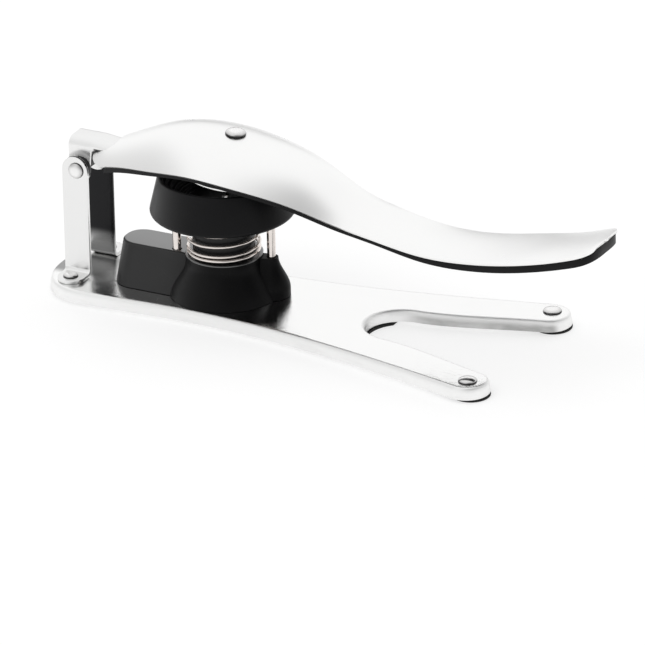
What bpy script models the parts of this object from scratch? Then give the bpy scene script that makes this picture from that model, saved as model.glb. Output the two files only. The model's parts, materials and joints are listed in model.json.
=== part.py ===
"""Chestnut cutter: a lever press on a forked steel base, modelled piece by piece.

Metres, +Z up. +X runs from the hinge to the lever's tip and +Y to the far side. The origin is on
the table, under the middle of the overall length. Lengths along the tool are measured from the
rear end of the base, and heights from the top face of the base plate.
"""
import math

import bpy
import bmesh
from mathutils import Matrix, Vector

# overall and fits
LENGTH = 0.2320                # rear end of the base to the lever's tip
GAP = 0.0003                   # between pieces that touch or fit into each other

# base plate
SHEET = 0.0010                 # steel of the base plate
PLATE_RISE = 0.0047            # plate's top face above the rim's lower edge
FOOT_HEIGHT = 0.0013           # feet below the rim
RIM_FLARE = 0.0006             # rim's lower edge outside its upper edge
RIM_BEND = 0.0012
REAR_DEPTH = 0.0209            # rear end's rounding along the tool
REAR_HALF_WIDTH = 0.0244
REAR_SQUARENESS = 2.3
WAIST = 0.0675                 # where the plate is narrowest
WAIST_HALF_WIDTH = 0.0225
TIP_CENTRE = 0.1903
TIP_SIDE = 0.0339
TIP_RADIUS = 0.0083
LEG_SPLAY = 14.0               # degrees
CROTCH = 0.1308                # deepest point of the gap between the legs
CROTCH_DEPTH = 0.0147
CROTCH_HALF_WIDTH = 0.0137

# feet
TIP_FOOT_RADIUS = 0.0073
TIP_FOOT_SHIFT = 0.0018        # towards the front, so that it shows past the rim
TIP_PLUG_SHIFT = 0.0004
TIP_PLUG_RADIUS = 0.0055
FOOT_EDGE = 0.0004
CROTCH_FOOT_LENGTH = 0.0176
CROTCH_FOOT_HALF_WIDTH = 0.0155
CROTCH_FOOT_REAR = 0.0098      # behind the crotch
CROTCH_FOOT_SHOW = 0.0011      # past the rim at the crotch
CROTCH_PLUG_HALF_WIDTH = 0.0100
REAR_FOOT_CENTRE = 0.0135
REAR_FOOT_LENGTH = 0.0140
REAR_FOOT_HALF_WIDTH = 0.0170
FOOT_CORNER = 0.0030

# posts and hinge
PIVOT = 0.0136
PIVOT_HEIGHT = 0.0429
POST = 0.0129                  # middle of the strip
POST_HALF_WIDTH = 0.00535
POST_SHEET = 0.0013
POST_INNER = 0.0090            # inner face from the middle plane
POST_BEND = 0.0010
FLANGE_CENTRE = 0.0151         # flange rivet from the middle plane
FLANGE_RIVET = 0.0125
PIN_RADIUS = 0.0022
PIN_HEAD_RADIUS = 0.0031
PIN_HEAD_HEIGHT = 0.0013
BUSH_RADIUS = 0.0046
FLANGE_RIVET_RADIUS = 0.0029
TIP_RIVET = 0.1912
TIP_RIVET_SIDE = 0.0350
TIP_RIVET_RADIUS = 0.0036
RIVET_SHANK = 0.0015
RIVET_TAIL = 0.0026
RIVET_TAIL_HEIGHT = 0.0008
DOME_HEIGHT = 0.0011

# saddle
SADDLE_SHEET = 0.0012
SADDLE_HALF_WIDTH = 0.0062
SADDLE_BEND = 0.0035
SADDLE_TOP = 0.0113            # above the pivot
SADDLE_DROP = 0.0009           # from the pivot to where the lever covers it
SADDLE_REAR = 0.0084           # rear edge of the walls
SADDLE_FRONT = 0.0175          # front edge of the walls
SADDLE_EAR = 0.0054            # walls' round lower end about the pivot
TONGUE_END = 0.0400
TONGUE_DEPTH = 0.0034

# lever shell: a station is (from the rear end, half width, edge above the pivot, crown above the pivot)
LEVER_SHEET = 0.0010
LEVER_STATIONS = [
    (0.0225, 0.0120, 0.0039, 0.0099),
    (0.0355, 0.0170, 0.0079, 0.0159),
    (0.0505, 0.0215, 0.0106, 0.0218),
    (0.0675, 0.0247, 0.0128, 0.0233),
    (0.0855, 0.0243, 0.0114, 0.0214),
    (0.1105, 0.0193, 0.0057, 0.0144),
    (0.1255, 0.0162, 0.0006, 0.0054),
    (0.1405, 0.0146, -0.0026, -0.0016),
    (0.1605, 0.0144, -0.0057, -0.0047),
    (0.1805, 0.0148, -0.0051, -0.0042),
    (0.2005, 0.0156, -0.0017, -0.0009),
    (0.2155, 0.0149, 0.0018, 0.0030),
    (0.2320, 0.0148, 0.0074, 0.0082),
]
CROWN_POWER = 2.2              # roundness of the lever's cross-section
TIP_ROUND = 0.0115             # length of the rounded tip
TIP_SQUARENESS = 3.3
LEVER_RINGS = 36
LEVER_COLUMNS = 12

# liner: lip is how far it shows below the steel edge, as (from the rear end, lip)
LINER_WALL = 0.0018
LINER_INSET = 0.0009
LINER_REAR = 0.0270
LINER_LIPS = [(0.0270, 0.0029), (0.0700, 0.0019), (0.1000, 0.0023), (0.1300, 0.0026), (0.1600, 0.0034),
              (0.1950, 0.0042), (0.2150, 0.0043), (0.2320, 0.0047)]
NOTCH_CLEARANCE = 0.0008
NOTCH_END = 0.0285             # shell's notch that the saddle's top shows through

# pressing head, square to the lever rivet's tilted axis
HEAD_RIVET = 0.0771
HEAD_TILT = 4.5                # degrees
HEAD_RIVET_RADIUS = 0.0040
HEAD_SHANK = 0.0022
PRESS_RADIUS = 0.0199
PRESS_SHEET = 0.0010
PRESS_DISH = 0.0020
PRESS_RIM = 0.0034
BOSS_RADIUS = 0.0180
BOSS_TOP_RADIUS = 0.0050
BOSS_SHOULDER = 0.0140
BOSS_SHOULDER_DROP = 0.0038

# cup
AXIS = 0.0708                  # cup's axis from the rear end
STROKE = 0.0080
CUP_RISE = 0.0054              # top above the pivot
CUP_HEIGHT = 0.0155
CUP_TOP_RADIUS = 0.0243
CUP_BOTTOM_RADIUS = 0.0278
CUP_WALL = 0.0015
CUP_EDGE = 0.0021              # rounding of the lower edge
CUP_FLOOR = 0.0018
CUP_DEPTH = 0.0110
CUP_BRIM = 0.0040              # plain wall above the steps
CUP_STEPS = 5
CUP_STEP_WIDTH = 0.0018
RECESS_CLEARANCE = 0.0012

# guide pins
GUIDE_TURN = 14.6              # degrees from +X
GUIDE_SPREAD = 0.0183
GUIDE_RADIUS = 0.00165
GUIDE_IN_CUP = 0.0066
GUIDE_HEAD_RADIUS = 0.0024
GUIDE_HEAD = 0.0018
LEDGE = 0.0028

# lower housing
SEAT_HEIGHT = 0.0164
CONE_STATIONS = [(0.0, 0.0148), (0.0040, 0.0149), (0.0090, 0.0177), (0.0131, 0.0201), (0.0164, 0.0213)]
LUG_HEIGHT = 0.0155
LUG_TOP_RADIUS = 0.0026
LUG_FOOT_RADIUS = 0.0070
LUG_FLARE = 0.82               # share of the lug's height that flares
BLOCK_HEIGHT = 0.0159
BLOCK_REAR = 0.0269
BLOCK_ROUND = 0.0102
BLOCK_TOP_ROUND = 0.0084
BLOCK_HALF_WIDTH = 0.0132
BLOCK_TOP_HALF_WIDTH = 0.0074
BLOCK_SHOULDER = 0.0008
SOCKET_RADIUS = 0.0083
SOCKET_DEPTH = 0.0072

# blades and their holder
BLADE_SHEET = 0.0008
BLADE_HALF_LENGTH = 0.0090
BLADE_BELOW_FLOOR = 0.0024     # tip below the cup's floor at rest
BLADE_EDGE = 0.0016
BLADE_RISE = 0.0030            # middle of the edge above its ends
BLADE_SEAT = 0.0078            # slot's depth in the holder
SLOT_CLEARANCE = 0.0006

# spring
WIRE_RADIUS = 0.0006
SPRING_RADIUS = 0.01355
CLOSED_PITCH = 0.00168
SEAT_TURNS = 1.25              # closed turns on the seat
CUP_TURNS = 1.0                # closed turns under the cup
SPRING_TURNS = 3.3             # between the closed end turns
SPRING_START = -162.0          # degrees from +X
TURN_POINTS = 10

# screws
SCREW_RADIUS = 0.0013
SCREW_HEAD_RADIUS = 0.0026
SCREW_HEAD = 0.0016
BLOCK_SCREW = 0.0370
BLOCK_SCREW_LENGTH = 0.0110
HOLDER_SCREW_SPREAD = 0.0055

ROUND_STEPS = 40
SOCKET_STEPS = 28
SMALL_STEPS = 16
SMOOTH_ANGLE = 38.0

# places that follow from the sizes
PLATE_TOP = FOOT_HEIGHT + PLATE_RISE
PLATE_UNDER = PLATE_TOP - SHEET
HOUSING_BASE = PLATE_TOP + GAP
CUP_TOP = PIVOT_HEIGHT + CUP_RISE
CUP_BOTTOM = CUP_TOP - CUP_HEIGHT
CUP_FLOOR_TOP = CUP_TOP - CUP_DEPTH
CUP_CEILING = CUP_FLOOR_TOP - CUP_FLOOR
HOLDER_TOP = CUP_CEILING - STROKE - GAP
SOCKET_FLOOR = SEAT_HEIGHT - SOCKET_DEPTH
RECESS_RADIUS = SPRING_RADIUS + WIRE_RADIUS + RECESS_CLEARANCE
HOLDER_RADIUS = SPRING_RADIUS * math.cos(math.pi / TURN_POINTS) - WIRE_RADIUS - 1.5 * GAP


def along(distance):
    """World X of a place this far from the rear end of the base."""
    return distance - LENGTH / 2


def above(height):
    """World Z of a place this high above the plate's top face."""
    return PLATE_TOP + height


def clear_scene():
    for item in list(bpy.data.objects):
        bpy.data.objects.remove(item, do_unlink=True)


def new_collection(name):
    group = bpy.data.collections.new(name)
    bpy.context.scene.collection.children.link(group)
    return group


def new_material(name, colour, metallic, roughness):
    material = bpy.data.materials.new(name)
    material.use_nodes = True
    shader = material.node_tree.nodes["Principled BSDF"]
    shader.inputs["Base Color"].default_value = (*colour, 1.0)
    shader.inputs["Metallic"].default_value = metallic
    shader.inputs["Roughness"].default_value = roughness
    return material


clear_scene()
PARTS = new_collection("chestnut_cutter")
CUTTERS = new_collection("cutters")


def smooth(mesh):
    mesh.shade_smooth()
    mesh.set_sharp_from_angle(angle=math.radians(SMOOTH_ANGLE))


def object_from(name, bm, material):
    """An object in the parts collection from a bmesh, with faces turned outwards."""
    mesh = bpy.data.meshes.new(name)
    bm.to_mesh(mesh)
    bm.free()
    smooth(mesh)
    if material:
        mesh.materials.append(material)
    item = bpy.data.objects.new(name, mesh)
    PARTS.objects.link(item)
    return item


def as_cutter(item):
    """Move an object to the cutters, so that it shapes others and is no piece itself."""
    PARTS.objects.unlink(item)
    CUTTERS.objects.link(item)
    item.hide_render = True
    item.display_type = "WIRE"
    return item


def combine(item, other, operation):
    step = item.modifiers.new(other.name, "BOOLEAN")
    step.operation = operation
    step.object = as_cutter(other) if other.name in PARTS.objects else other
    return item


def cut(item, other):
    return combine(item, other, "DIFFERENCE")


def join(item, other):
    return combine(item, other, "UNION")


def turned(name, profile, material=None, steps=ROUND_STEPS):
    """A turned piece: profile points (radius, height) run down the outer side."""
    bm = bmesh.new()
    ring = [bm.verts.new((radius, 0.0, height)) for radius, height in profile]
    pairs = list(zip(ring, ring[1:]))
    if profile[0][0] > 0:
        pairs.append((ring[-1], ring[0]))
    for first, second in pairs:
        bm.edges.new((first, second))
    item = object_from(name, bm, material)
    screw = item.modifiers.new("turn", "SCREW")
    screw.steps = steps
    screw.render_steps = steps
    screw.use_merge_vertices = True
    screw.merge_threshold = 0.000001
    screw.use_smooth_shade = True
    return item


def rod(name, radius, low, high, place=(0.0, 0.0), steps=SMALL_STEPS):
    """A plain upright cylinder, for holes."""
    bm = bmesh.new()
    bmesh.ops.create_cone(bm, cap_ends=True, segments=steps, radius1=radius, radius2=radius,
                          depth=high - low)
    item = object_from(name, bm, None)
    item.location = (place[0], place[1], (low + high) / 2)
    return item


def box(name, low, high, turn=0.0, place=(0.0, 0.0)):
    """A plain block between two corners, turned about an upright axis at place."""
    bm = bmesh.new()
    bmesh.ops.create_cube(bm, size=1.0)
    size = [b - a for a, b in zip(low, high)]
    middle = [(a + b) / 2 for a, b in zip(low, high)]
    bmesh.ops.scale(bm, vec=size, verts=bm.verts)
    bmesh.ops.translate(bm, vec=middle, verts=bm.verts)
    item = object_from(name, bm, None)
    item.rotation_euler.z = math.radians(turn)
    item.location = (place[0], place[1], 0.0)
    return item


def outlined(name, outline, thickness, material=None):
    """A flat outline given its thickness along Z, centred on Z = 0, as a mesh."""
    curve = bpy.data.curves.new(name, "CURVE")
    curve.dimensions = "2D"
    curve.fill_mode = "BOTH"
    curve.extrude = thickness / 2
    spline = curve.splines.new("POLY")
    spline.points.add(len(outline) - 1)
    for point, (across, up) in zip(spline.points, outline):
        point.co = (across, up, 0.0, 1.0)
    spline.use_cyclic_u = True
    guide = bpy.data.objects.new(name, curve)
    PARTS.objects.link(guide)
    bpy.context.view_layer.update()
    shape = bpy.data.meshes.new_from_object(guide.evaluated_get(bpy.context.evaluated_depsgraph_get()))
    bpy.data.objects.remove(guide, do_unlink=True)
    bm = bmesh.new()
    bm.from_mesh(shape)
    bmesh.ops.remove_doubles(bm, verts=bm.verts, dist=0.000001)
    bmesh.ops.recalc_face_normals(bm, faces=bm.faces)
    bpy.data.meshes.remove(shape)
    return object_from(name, bm, material)


def side_outlined(name, outline, width, material=None):
    """An outline in the XZ plane given its width along Y, centred on the middle plane."""
    item = outlined(name, outline, width, material)
    item.data.transform(Matrix.Rotation(math.radians(90), 4, "X"))
    return item


def loft(name, rings, material=None):
    """A closed solid through rings of equal count, capped at both ends."""
    bm = bmesh.new()
    loops = [[bm.verts.new(point) for point in ring] for ring in rings]
    count = len(loops[0])
    for lower, upper in zip(loops, loops[1:]):
        for index in range(count):
            after = (index + 1) % count
            bm.faces.new((lower[index], lower[after], upper[after], upper[index]))
    bm.faces.new(loops[0])
    bm.faces.new(loops[-1])
    bmesh.ops.recalc_face_normals(bm, faces=bm.faces)
    return object_from(name, bm, material)


def sheet(name, rows, thickness, offset, material):
    """An open surface through rows of points, thickened to a shell."""
    bm = bmesh.new()
    lines = [[bm.verts.new(point) for point in row] for row in rows]
    for first, second in zip(lines, lines[1:]):
        for index in range(len(first) - 1):
            bm.faces.new((first[index], second[index], second[index + 1], first[index + 1]))
    item = object_from(name, bm, material)
    thicken(item, thickness, offset)
    return item


def thicken(item, thickness, offset):
    wall = item.modifiers.new("wall", "SOLIDIFY")
    wall.thickness = thickness
    wall.offset = offset
    wall.use_even_offset = True


def arc(centre, radii, start, end, steps, power=2.0, turn=0.0):
    """Points round an ellipse, or a squarer curve for a power above 2, in degrees."""
    points = []
    for index in range(steps + 1):
        angle = math.radians(start + (end - start) * index / steps)
        across = radii[0] * math.copysign(abs(math.cos(angle)) ** (2 / power), math.cos(angle))
        up = radii[1] * math.copysign(abs(math.sin(angle)) ** (2 / power), math.sin(angle))
        spin = math.radians(turn)
        points.append((centre[0] + across * math.cos(spin) - up * math.sin(spin),
                       centre[1] + across * math.sin(spin) + up * math.cos(spin)))
    return points


def bend(start, start_slope, end, end_slope, steps):
    """Points on a smooth curve between two points with given slopes."""
    points = []
    run = end[0] - start[0]
    for index in range(steps + 1):
        t = index / steps
        rise = (start[1] * (2 * t ** 3 - 3 * t ** 2 + 1) + end[1] * (3 * t ** 2 - 2 * t ** 3)
                + run * start_slope * (t ** 3 - 2 * t ** 2 + t) + run * end_slope * (t ** 3 - t ** 2))
        points.append((start[0] + run * t, rise))
    return points


def outset(loop, distance):
    """A closed outline moved outwards by a distance, for an outline that runs clockwise from above."""
    moved = []
    count = len(loop)
    for index, point in enumerate(loop):
        before, after = Vector(loop[index - 1]), Vector(loop[(index + 1) % count])
        way = (after - before).normalized()
        moved.append((point[0] - way.y * distance, point[1] + way.x * distance))
    return moved


def ease(t):
    """0 to 1 with level ends."""
    t = min(1.0, max(0.0, t))
    return t * t * (3 - 2 * t)


def between(table, place, column):
    """A value from a table of stations, on a smooth curve through them."""
    rows = table
    index = 0
    while index < len(rows) - 2 and place > rows[index + 1][0]:
        index += 1
    low, high = rows[index], rows[index + 1]
    before = rows[max(0, index - 1)]
    after = rows[min(len(rows) - 1, index + 2)]
    run = high[0] - low[0]
    slope_low = (high[column] - before[column]) / (high[0] - before[0])
    slope_high = (after[column] - low[column]) / (after[0] - low[0])
    t = (place - low[0]) / run
    return (low[column] * (2 * t ** 3 - 3 * t ** 2 + 1) + high[column] * (3 * t ** 2 - 2 * t ** 3)
            + run * slope_low * (t ** 3 - 2 * t ** 2 + t) + run * slope_high * (t ** 3 - t ** 2))


def pivot_empty(name, place, turn_y=0.0):
    empty = bpy.data.objects.new(name, None)
    empty.location = place
    empty.rotation_euler.y = math.radians(turn_y)
    empty.empty_display_size = 0.005
    PARTS.objects.link(empty)
    return empty


def hang(item, empty):
    """Give a piece its joint's empty as parent, without moving it."""
    bpy.context.view_layer.update()
    item.parent = empty
    item.matrix_parent_inverse = empty.matrix_world.inverted()


def place_on(item, empty):
    """Place a piece, built about its own origin, in an empty's frame."""
    item.parent = empty


# materials
BRUSHED = new_material("brushed_stainless", (0.62, 0.62, 0.61), 1.0, 0.34)
POLISHED = new_material("polished_steel", (0.66, 0.64, 0.62), 1.0, 0.14)
BLACK = new_material("black_plastic", (0.022, 0.022, 0.023), 0.0, 0.42)
RUBBER = new_material("black_rubber", (0.015, 0.015, 0.015), 0.0, 0.75)


def rivet(name, place, seat, grip, head, head_height, material=POLISHED, shank=RIVET_SHANK, tail=RIVET_TAIL,
          tail_height=RIVET_TAIL_HEIGHT, domed_tail=False):
    """A domed rivet: its head sits at seat and its tail below the grip."""
    dome = [(head * math.sin(math.radians(a)), seat + head_height * math.cos(math.radians(a)))
            for a in (0, 30, 60, 90)]
    lower = seat - grip
    if domed_tail:
        foot = [(tail * math.sin(math.radians(a)), lower - tail_height * math.cos(math.radians(a)))
                for a in (90, 60, 30, 0)]
    else:
        foot = [(tail, lower), (tail, lower - tail_height), (0.0, lower - tail_height)]
    item = turned(name, dome + [(shank, seat), (shank, lower)] + foot, material, SMALL_STEPS)
    item.location = (place[0], place[1], 0.0)
    return item


def base_outline():
    """The plate's outline, clockwise from above, from the middle of the rear end."""
    splay = math.radians(LEG_SPLAY)
    slope = math.tan(splay)
    rear_centre = along(REAR_DEPTH + RIM_FLARE)
    rear = arc((rear_centre, 0.0), (REAR_DEPTH, REAR_HALF_WIDTH), 180, 90, 9, REAR_SQUARENESS)
    waist = (along(WAIST), WAIST_HALF_WIDTH)
    tip = (along(TIP_CENTRE), TIP_SIDE)
    outer = (tip[0] - TIP_RADIUS * math.sin(splay), tip[1] + TIP_RADIUS * math.cos(splay))
    inner = (tip[0] + TIP_RADIUS * math.sin(splay), tip[1] - TIP_RADIUS * math.cos(splay))
    side = bend((rear_centre, REAR_HALF_WIDTH), 0.0, waist, 0.0, 4)
    leg = bend(waist, 0.0, outer, slope, 9)
    nose = arc(tip, (TIP_RADIUS, TIP_RADIUS), 90 + LEG_SPLAY, LEG_SPLAY - 90, 12)
    crotch_centre = along(CROTCH + CROTCH_DEPTH)
    inside = bend(inner, slope, (crotch_centre, CROTCH_HALF_WIDTH), 0.10, 7)
    crotch = arc((crotch_centre, 0.0), (CROTCH_DEPTH, CROTCH_HALF_WIDTH), 90, 180, 9)
    half = rear + side[1:] + leg[1:] + nose[1:] + inside[1:] + crotch[1:]
    return half + [(x, -y) for x, y in reversed(half[1:-1])]


def base_plate():
    """Pressed from one sheet: a flat top, a bend and a rim that flares a little."""
    bm = bmesh.new()
    loop = base_outline()
    top = [bm.verts.new((x, y, PLATE_TOP)) for x, y in loop]
    low = [bm.verts.new((x, y, FOOT_HEIGHT)) for x, y in outset(loop, RIM_FLARE)]
    bm.faces.new(list(reversed(top)))
    for index in range(len(top)):
        after = (index + 1) % len(top)
        bm.faces.new((top[index], top[after], low[after], low[index]))
    plate = object_from("base_plate", bm, BRUSHED)
    edge = plate.modifiers.new("bend", "BEVEL")
    edge.width = RIM_BEND
    edge.segments = 2
    edge.limit_method = "ANGLE"
    edge.angle_limit = math.radians(60)
    thicken(plate, SHEET, -1.0)
    for side in (-1, 1):
        hole = RIVET_SHANK + GAP
        cut(plate, rod(f"tip_hole_{side}", hole, 0.0, 2 * PLATE_TOP, (along(TIP_RIVET), side * TIP_RIVET_SIDE)))
        cut(plate, rod(f"flange_hole_{side}", hole, 0.0, 2 * PLATE_TOP, (along(FLANGE_RIVET), side * FLANGE_CENTRE)))
    for name, place, low_end, high_end in screw_places():
        cut(plate, rod(name + "_hole", SCREW_RADIUS + GAP, 0.0, 2 * PLATE_TOP, place))
    return plate


def screw_places():
    """Name, place, shank start and shank end of each screw from below the plate."""
    start = PLATE_UNDER - GAP
    places = [("rear_housing_screw", (along(BLOCK_SCREW), 0.0), start, start + BLOCK_SCREW_LENGTH)]
    tip = above(SEAT_HEIGHT - BLADE_SEAT + (HOLDER_TOP - SEAT_HEIGHT)) - 4 * GAP
    for name, turn in (("front_holder_screw", -45.0), ("back_holder_screw", 135.0)):
        angle = math.radians(GUIDE_TURN + turn)
        place = (along(AXIS) + HOLDER_SCREW_SPREAD * math.cos(angle), HOLDER_SCREW_SPREAD * math.sin(angle))
        places.append((name, place, start, tip))
    return places


def screws():
    for name, place, start, end in screw_places():
        profile = [(0.0, end), (SCREW_RADIUS * 0.5, end), (SCREW_RADIUS, end - SCREW_RADIUS),
                   (SCREW_RADIUS, start), (SCREW_HEAD_RADIUS, start),
                   (SCREW_HEAD_RADIUS, start - SCREW_HEAD * 0.6), (SCREW_HEAD_RADIUS * 0.8, start - SCREW_HEAD),
                   (0.0, start - SCREW_HEAD)]
        item = turned(name, profile, POLISHED, SMALL_STEPS)
        item.location = (place[0], place[1], 0.0)


def rounded_rectangle(middle, half_length, half_width, corner):
    points = []
    for across, up, start in ((1, 1, 90), (1, -1, 0), (-1, -1, -90), (-1, 1, -180)):
        centre = (middle + across * (half_length - corner), up * (half_width - corner))
        points += arc(centre, (corner, corner), start, start - 90, 4)
    return points


def bar_foot(name, pad, plug):
    """A foot across the plate: a pad below the rim and a plug up to the plate's underside."""
    pad_height = FOOT_HEIGHT - GAP
    foot = outlined(name, rounded_rectangle(*pad), pad_height, RUBBER)
    foot.data.transform(Matrix.Translation((0, 0, pad_height / 2)))
    edge = foot.modifiers.new("edge", "BEVEL")
    edge.width = FOOT_EDGE
    edge.segments = 1
    edge.limit_method = "ANGLE"
    edge.angle_limit = math.radians(60)
    plug_height = PLATE_UNDER - GAP - pad_height / 2
    core = outlined(name + "_plug", rounded_rectangle(*plug), plug_height)
    core.data.transform(Matrix.Translation((0, 0, pad_height / 2 + plug_height / 2)))
    join(foot, core)
    return foot


def feet():
    pad_top = FOOT_HEIGHT - GAP
    for side, name in ((-1, "near_tip_foot"), (1, "far_tip_foot")):
        middle = along(TIP_CENTRE)
        pad = rod(name, TIP_FOOT_RADIUS, 0.0, pad_top, (middle + TIP_FOOT_SHIFT, side * TIP_SIDE), 36)
        pad.data.materials.append(RUBBER)
        edge = pad.modifiers.new("edge", "BEVEL")
        edge.width = FOOT_EDGE
        edge.segments = 1
        edge.limit_method = "ANGLE"
        edge.angle_limit = math.radians(60)
        plug = (middle + TIP_PLUG_SHIFT, side * TIP_SIDE)
        join(pad, rod(name + "_plug", TIP_PLUG_RADIUS, pad_top / 2, PLATE_UNDER - GAP, plug, 28))
        hole = (along(TIP_RIVET), side * TIP_RIVET_SIDE)
        cut(pad, rod(name + "_hole", RIVET_SHANK + GAP, -FOOT_HEIGHT, 2 * PLATE_TOP, hole))
        cut(pad, rod(name + "_sink", RIVET_TAIL + 2 * GAP, -FOOT_HEIGHT, pad_top + GAP, hole))
    rear = CROTCH - CROTCH_FOOT_REAR
    plug_front = CROTCH - SHEET - 3 * GAP
    foot = bar_foot("crotch_foot", (along(rear + CROTCH_FOOT_LENGTH / 2), CROTCH_FOOT_LENGTH / 2,
                                    CROTCH_FOOT_HALF_WIDTH, FOOT_CORNER),
                    (along((plug_front + rear + SHEET) / 2), (plug_front - rear - SHEET) / 2,
                     CROTCH_PLUG_HALF_WIDTH, FOOT_CORNER - SHEET))
    centre = (along(CROTCH + CROTCH_DEPTH), 0.0)
    reach = (CROTCH_DEPTH - CROTCH_FOOT_SHOW, CROTCH_HALF_WIDTH - CROTCH_FOOT_SHOW / 4)
    bay = outlined("crotch_bay", arc(centre, reach, 0, 360, 40)[:-1], 4 * FOOT_HEIGHT)
    cut(foot, bay)
    plug_half_width = FLANGE_CENTRE - RIVET_TAIL - SHEET
    bar_foot("rear_foot", (along(REAR_FOOT_CENTRE), REAR_FOOT_LENGTH / 2, REAR_FOOT_HALF_WIDTH, FOOT_CORNER),
             (along(REAR_FOOT_CENTRE), REAR_FOOT_LENGTH / 2 - SHEET, plug_half_width, FOOT_CORNER - SHEET))


def posts():
    """Each post is one strip: a round top at the pivot, a bend at its foot and a round flange."""
    caps = (10, 25, 40, 57, 74, 90)
    outer = POST_INNER + POST_SHEET
    foot = PLATE_TOP + GAP + POST_SHEET
    pivot = above(PIVOT_HEIGHT)
    path = [(outer, pivot + POST_HALF_WIDTH * math.cos(math.radians(a)), POST_HALF_WIDTH * math.sin(math.radians(a)))
            for a in caps]
    for angle in (0, 30, 60, 90):
        path.append((outer + POST_BEND * (1 - math.cos(math.radians(angle))),
                     foot + POST_BEND * (1 - math.sin(math.radians(angle))), POST_HALF_WIDTH))
    path += [(FLANGE_CENTRE + POST_HALF_WIDTH * math.cos(math.radians(a)), foot,
              POST_HALF_WIDTH * math.sin(math.radians(a))) for a in reversed(caps)]
    middle = along(POST)
    for side, name in ((-1, "near_upright"), (1, "far_upright")):
        rows = [[(middle - half, side * y, z), (middle, side * y, z), (middle + half, side * y, z)]
                for y, z, half in path]
        post = sheet(name, rows, POST_SHEET, float(side), BRUSHED)
        hole = rod(name + "_pivot_hole", PIN_RADIUS + GAP, -outer * 2, outer * 2)
        hole.rotation_euler.x = math.radians(90)
        hole.location = (along(PIVOT), 0.0, pivot)
        cut(post, hole)
        cut(post, rod(name + "_rivet_hole", RIVET_SHANK + GAP, 0.0, 2 * foot,
                      (along(FLANGE_RIVET), side * FLANGE_CENTRE)))


def base_rivets():
    flange_seat = PLATE_TOP + 2 * GAP + POST_SHEET
    for side, word in ((-1, "near"), (1, "far")):
        rivet(word + "_flange_rivet", (along(FLANGE_RIVET), side * FLANGE_CENTRE), flange_seat,
              flange_seat - PLATE_UNDER + GAP, FLANGE_RIVET_RADIUS, DOME_HEIGHT)
        seat = PLATE_TOP + GAP
        foot_seat = FOOT_HEIGHT
        rivet(word + "_tip_rivet", (along(TIP_RIVET), side * TIP_RIVET_SIDE), seat,
              seat - foot_seat, TIP_RIVET_RADIUS, DOME_HEIGHT)


def hinge(lever_pivot):
    """Pin, spacers and the saddle that carries the lever between the posts."""
    outer = POST_INNER + POST_SHEET + GAP
    pin = rivet("pivot_pin", (0.0, 0.0), outer, 2 * outer, PIN_HEAD_RADIUS, PIN_HEAD_HEIGHT, POLISHED, PIN_RADIUS,
                PIN_HEAD_RADIUS, PIN_HEAD_HEIGHT, True)
    pin.rotation_euler.x = math.radians(90)
    pin.location = (along(PIVOT), 0.0, above(PIVOT_HEIGHT))
    for side, name in ((-1, "near_hinge_bush"), (1, "far_hinge_bush")):
        low = SADDLE_HALF_WIDTH + GAP
        high = POST_INNER - GAP
        bush = turned(name, [(BUSH_RADIUS, high), (BUSH_RADIUS, low), (PIN_RADIUS + GAP, low),
                             (PIN_RADIUS + GAP, high)], BLACK, SMALL_STEPS)
        bush.rotation_euler.x = math.radians(-90 * side)
        bush.location = (along(PIVOT), 0.0, above(PIVOT_HEIGHT))
    saddle = hinge_saddle()
    hang(saddle, lever_pivot)


def saddle_crest(distance):
    """Height of the saddle's top: almost level, then up along the lever's underside."""
    level = PIVOT_HEIGHT + SADDLE_TOP - SADDLE_DROP * ease((distance - SADDLE_FRONT) / (NOTCH_END - SADDLE_FRONT))
    under = lever_crown(max(distance, LEVER_STATIONS[0][0])) - LEVER_SHEET - 2.5 * GAP
    return max(level, under)


def hinge_saddle():
    """An upside-down channel, trimmed to round ears about the pivot and a tongue under the lever."""
    reach = SADDLE_EAR + SHEET
    stations = [SADDLE_REAR - SADDLE_EAR, PIVOT, SADDLE_FRONT]
    steps = 9
    stations += [SADDLE_FRONT + (TONGUE_END - SADDLE_FRONT) * (index + 1) / steps for index in range(steps)]
    rows = []
    for distance in stations:
        crest = saddle_crest(distance)
        flank = arc((SADDLE_HALF_WIDTH - SADDLE_BEND, crest - SADDLE_BEND), (SADDLE_BEND, SADDLE_BEND), 90, 0, 5)
        section = [(y, above(z)) for y, z in flank]
        section.append((SADDLE_HALF_WIDTH, above(PIVOT_HEIGHT - reach)))
        row = [(along(distance), -y, z) for y, z in reversed(section)] + [(along(distance), y, z) for y, z in section]
        rows.append(row)
    saddle = sheet("hinge_saddle", rows, SADDLE_SHEET, -1.0, BRUSHED)
    pivot = (along(PIVOT), above(PIVOT_HEIGHT))
    outline = arc(pivot, (SADDLE_EAR, SADDLE_EAR), 180, 360, 12)
    front = along(SADDLE_FRONT)
    outline[-1] = (front, pivot[1])
    stations = [SADDLE_FRONT + (TONGUE_END - SADDLE_FRONT) * index / steps for index in range(steps + 1)]
    outline += [(along(d), above(saddle_crest(d) - TONGUE_DEPTH)) for d in stations]
    roof = pivot[1] + SADDLE_TOP
    outline += [(along(TONGUE_END) + SHEET, roof + SADDLE_TOP), (along(SADDLE_REAR) + SHEET, roof + SADDLE_TOP),
                (along(SADDLE_REAR) + SHEET, roof - SHEET), (along(SADDLE_REAR), roof - 2 * SADDLE_BEND)]
    trim = side_outlined("saddle_trim", outline, 4 * SADDLE_HALF_WIDTH)
    combine(saddle, trim, "INTERSECT")
    hole = rod("saddle_hole", PIN_RADIUS + GAP, -2 * SADDLE_HALF_WIDTH, 2 * SADDLE_HALF_WIDTH)
    hole.rotation_euler.x = math.radians(90)
    hole.location = (pivot[0], 0.0, pivot[1])
    cut(saddle, hole)
    return saddle


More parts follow.
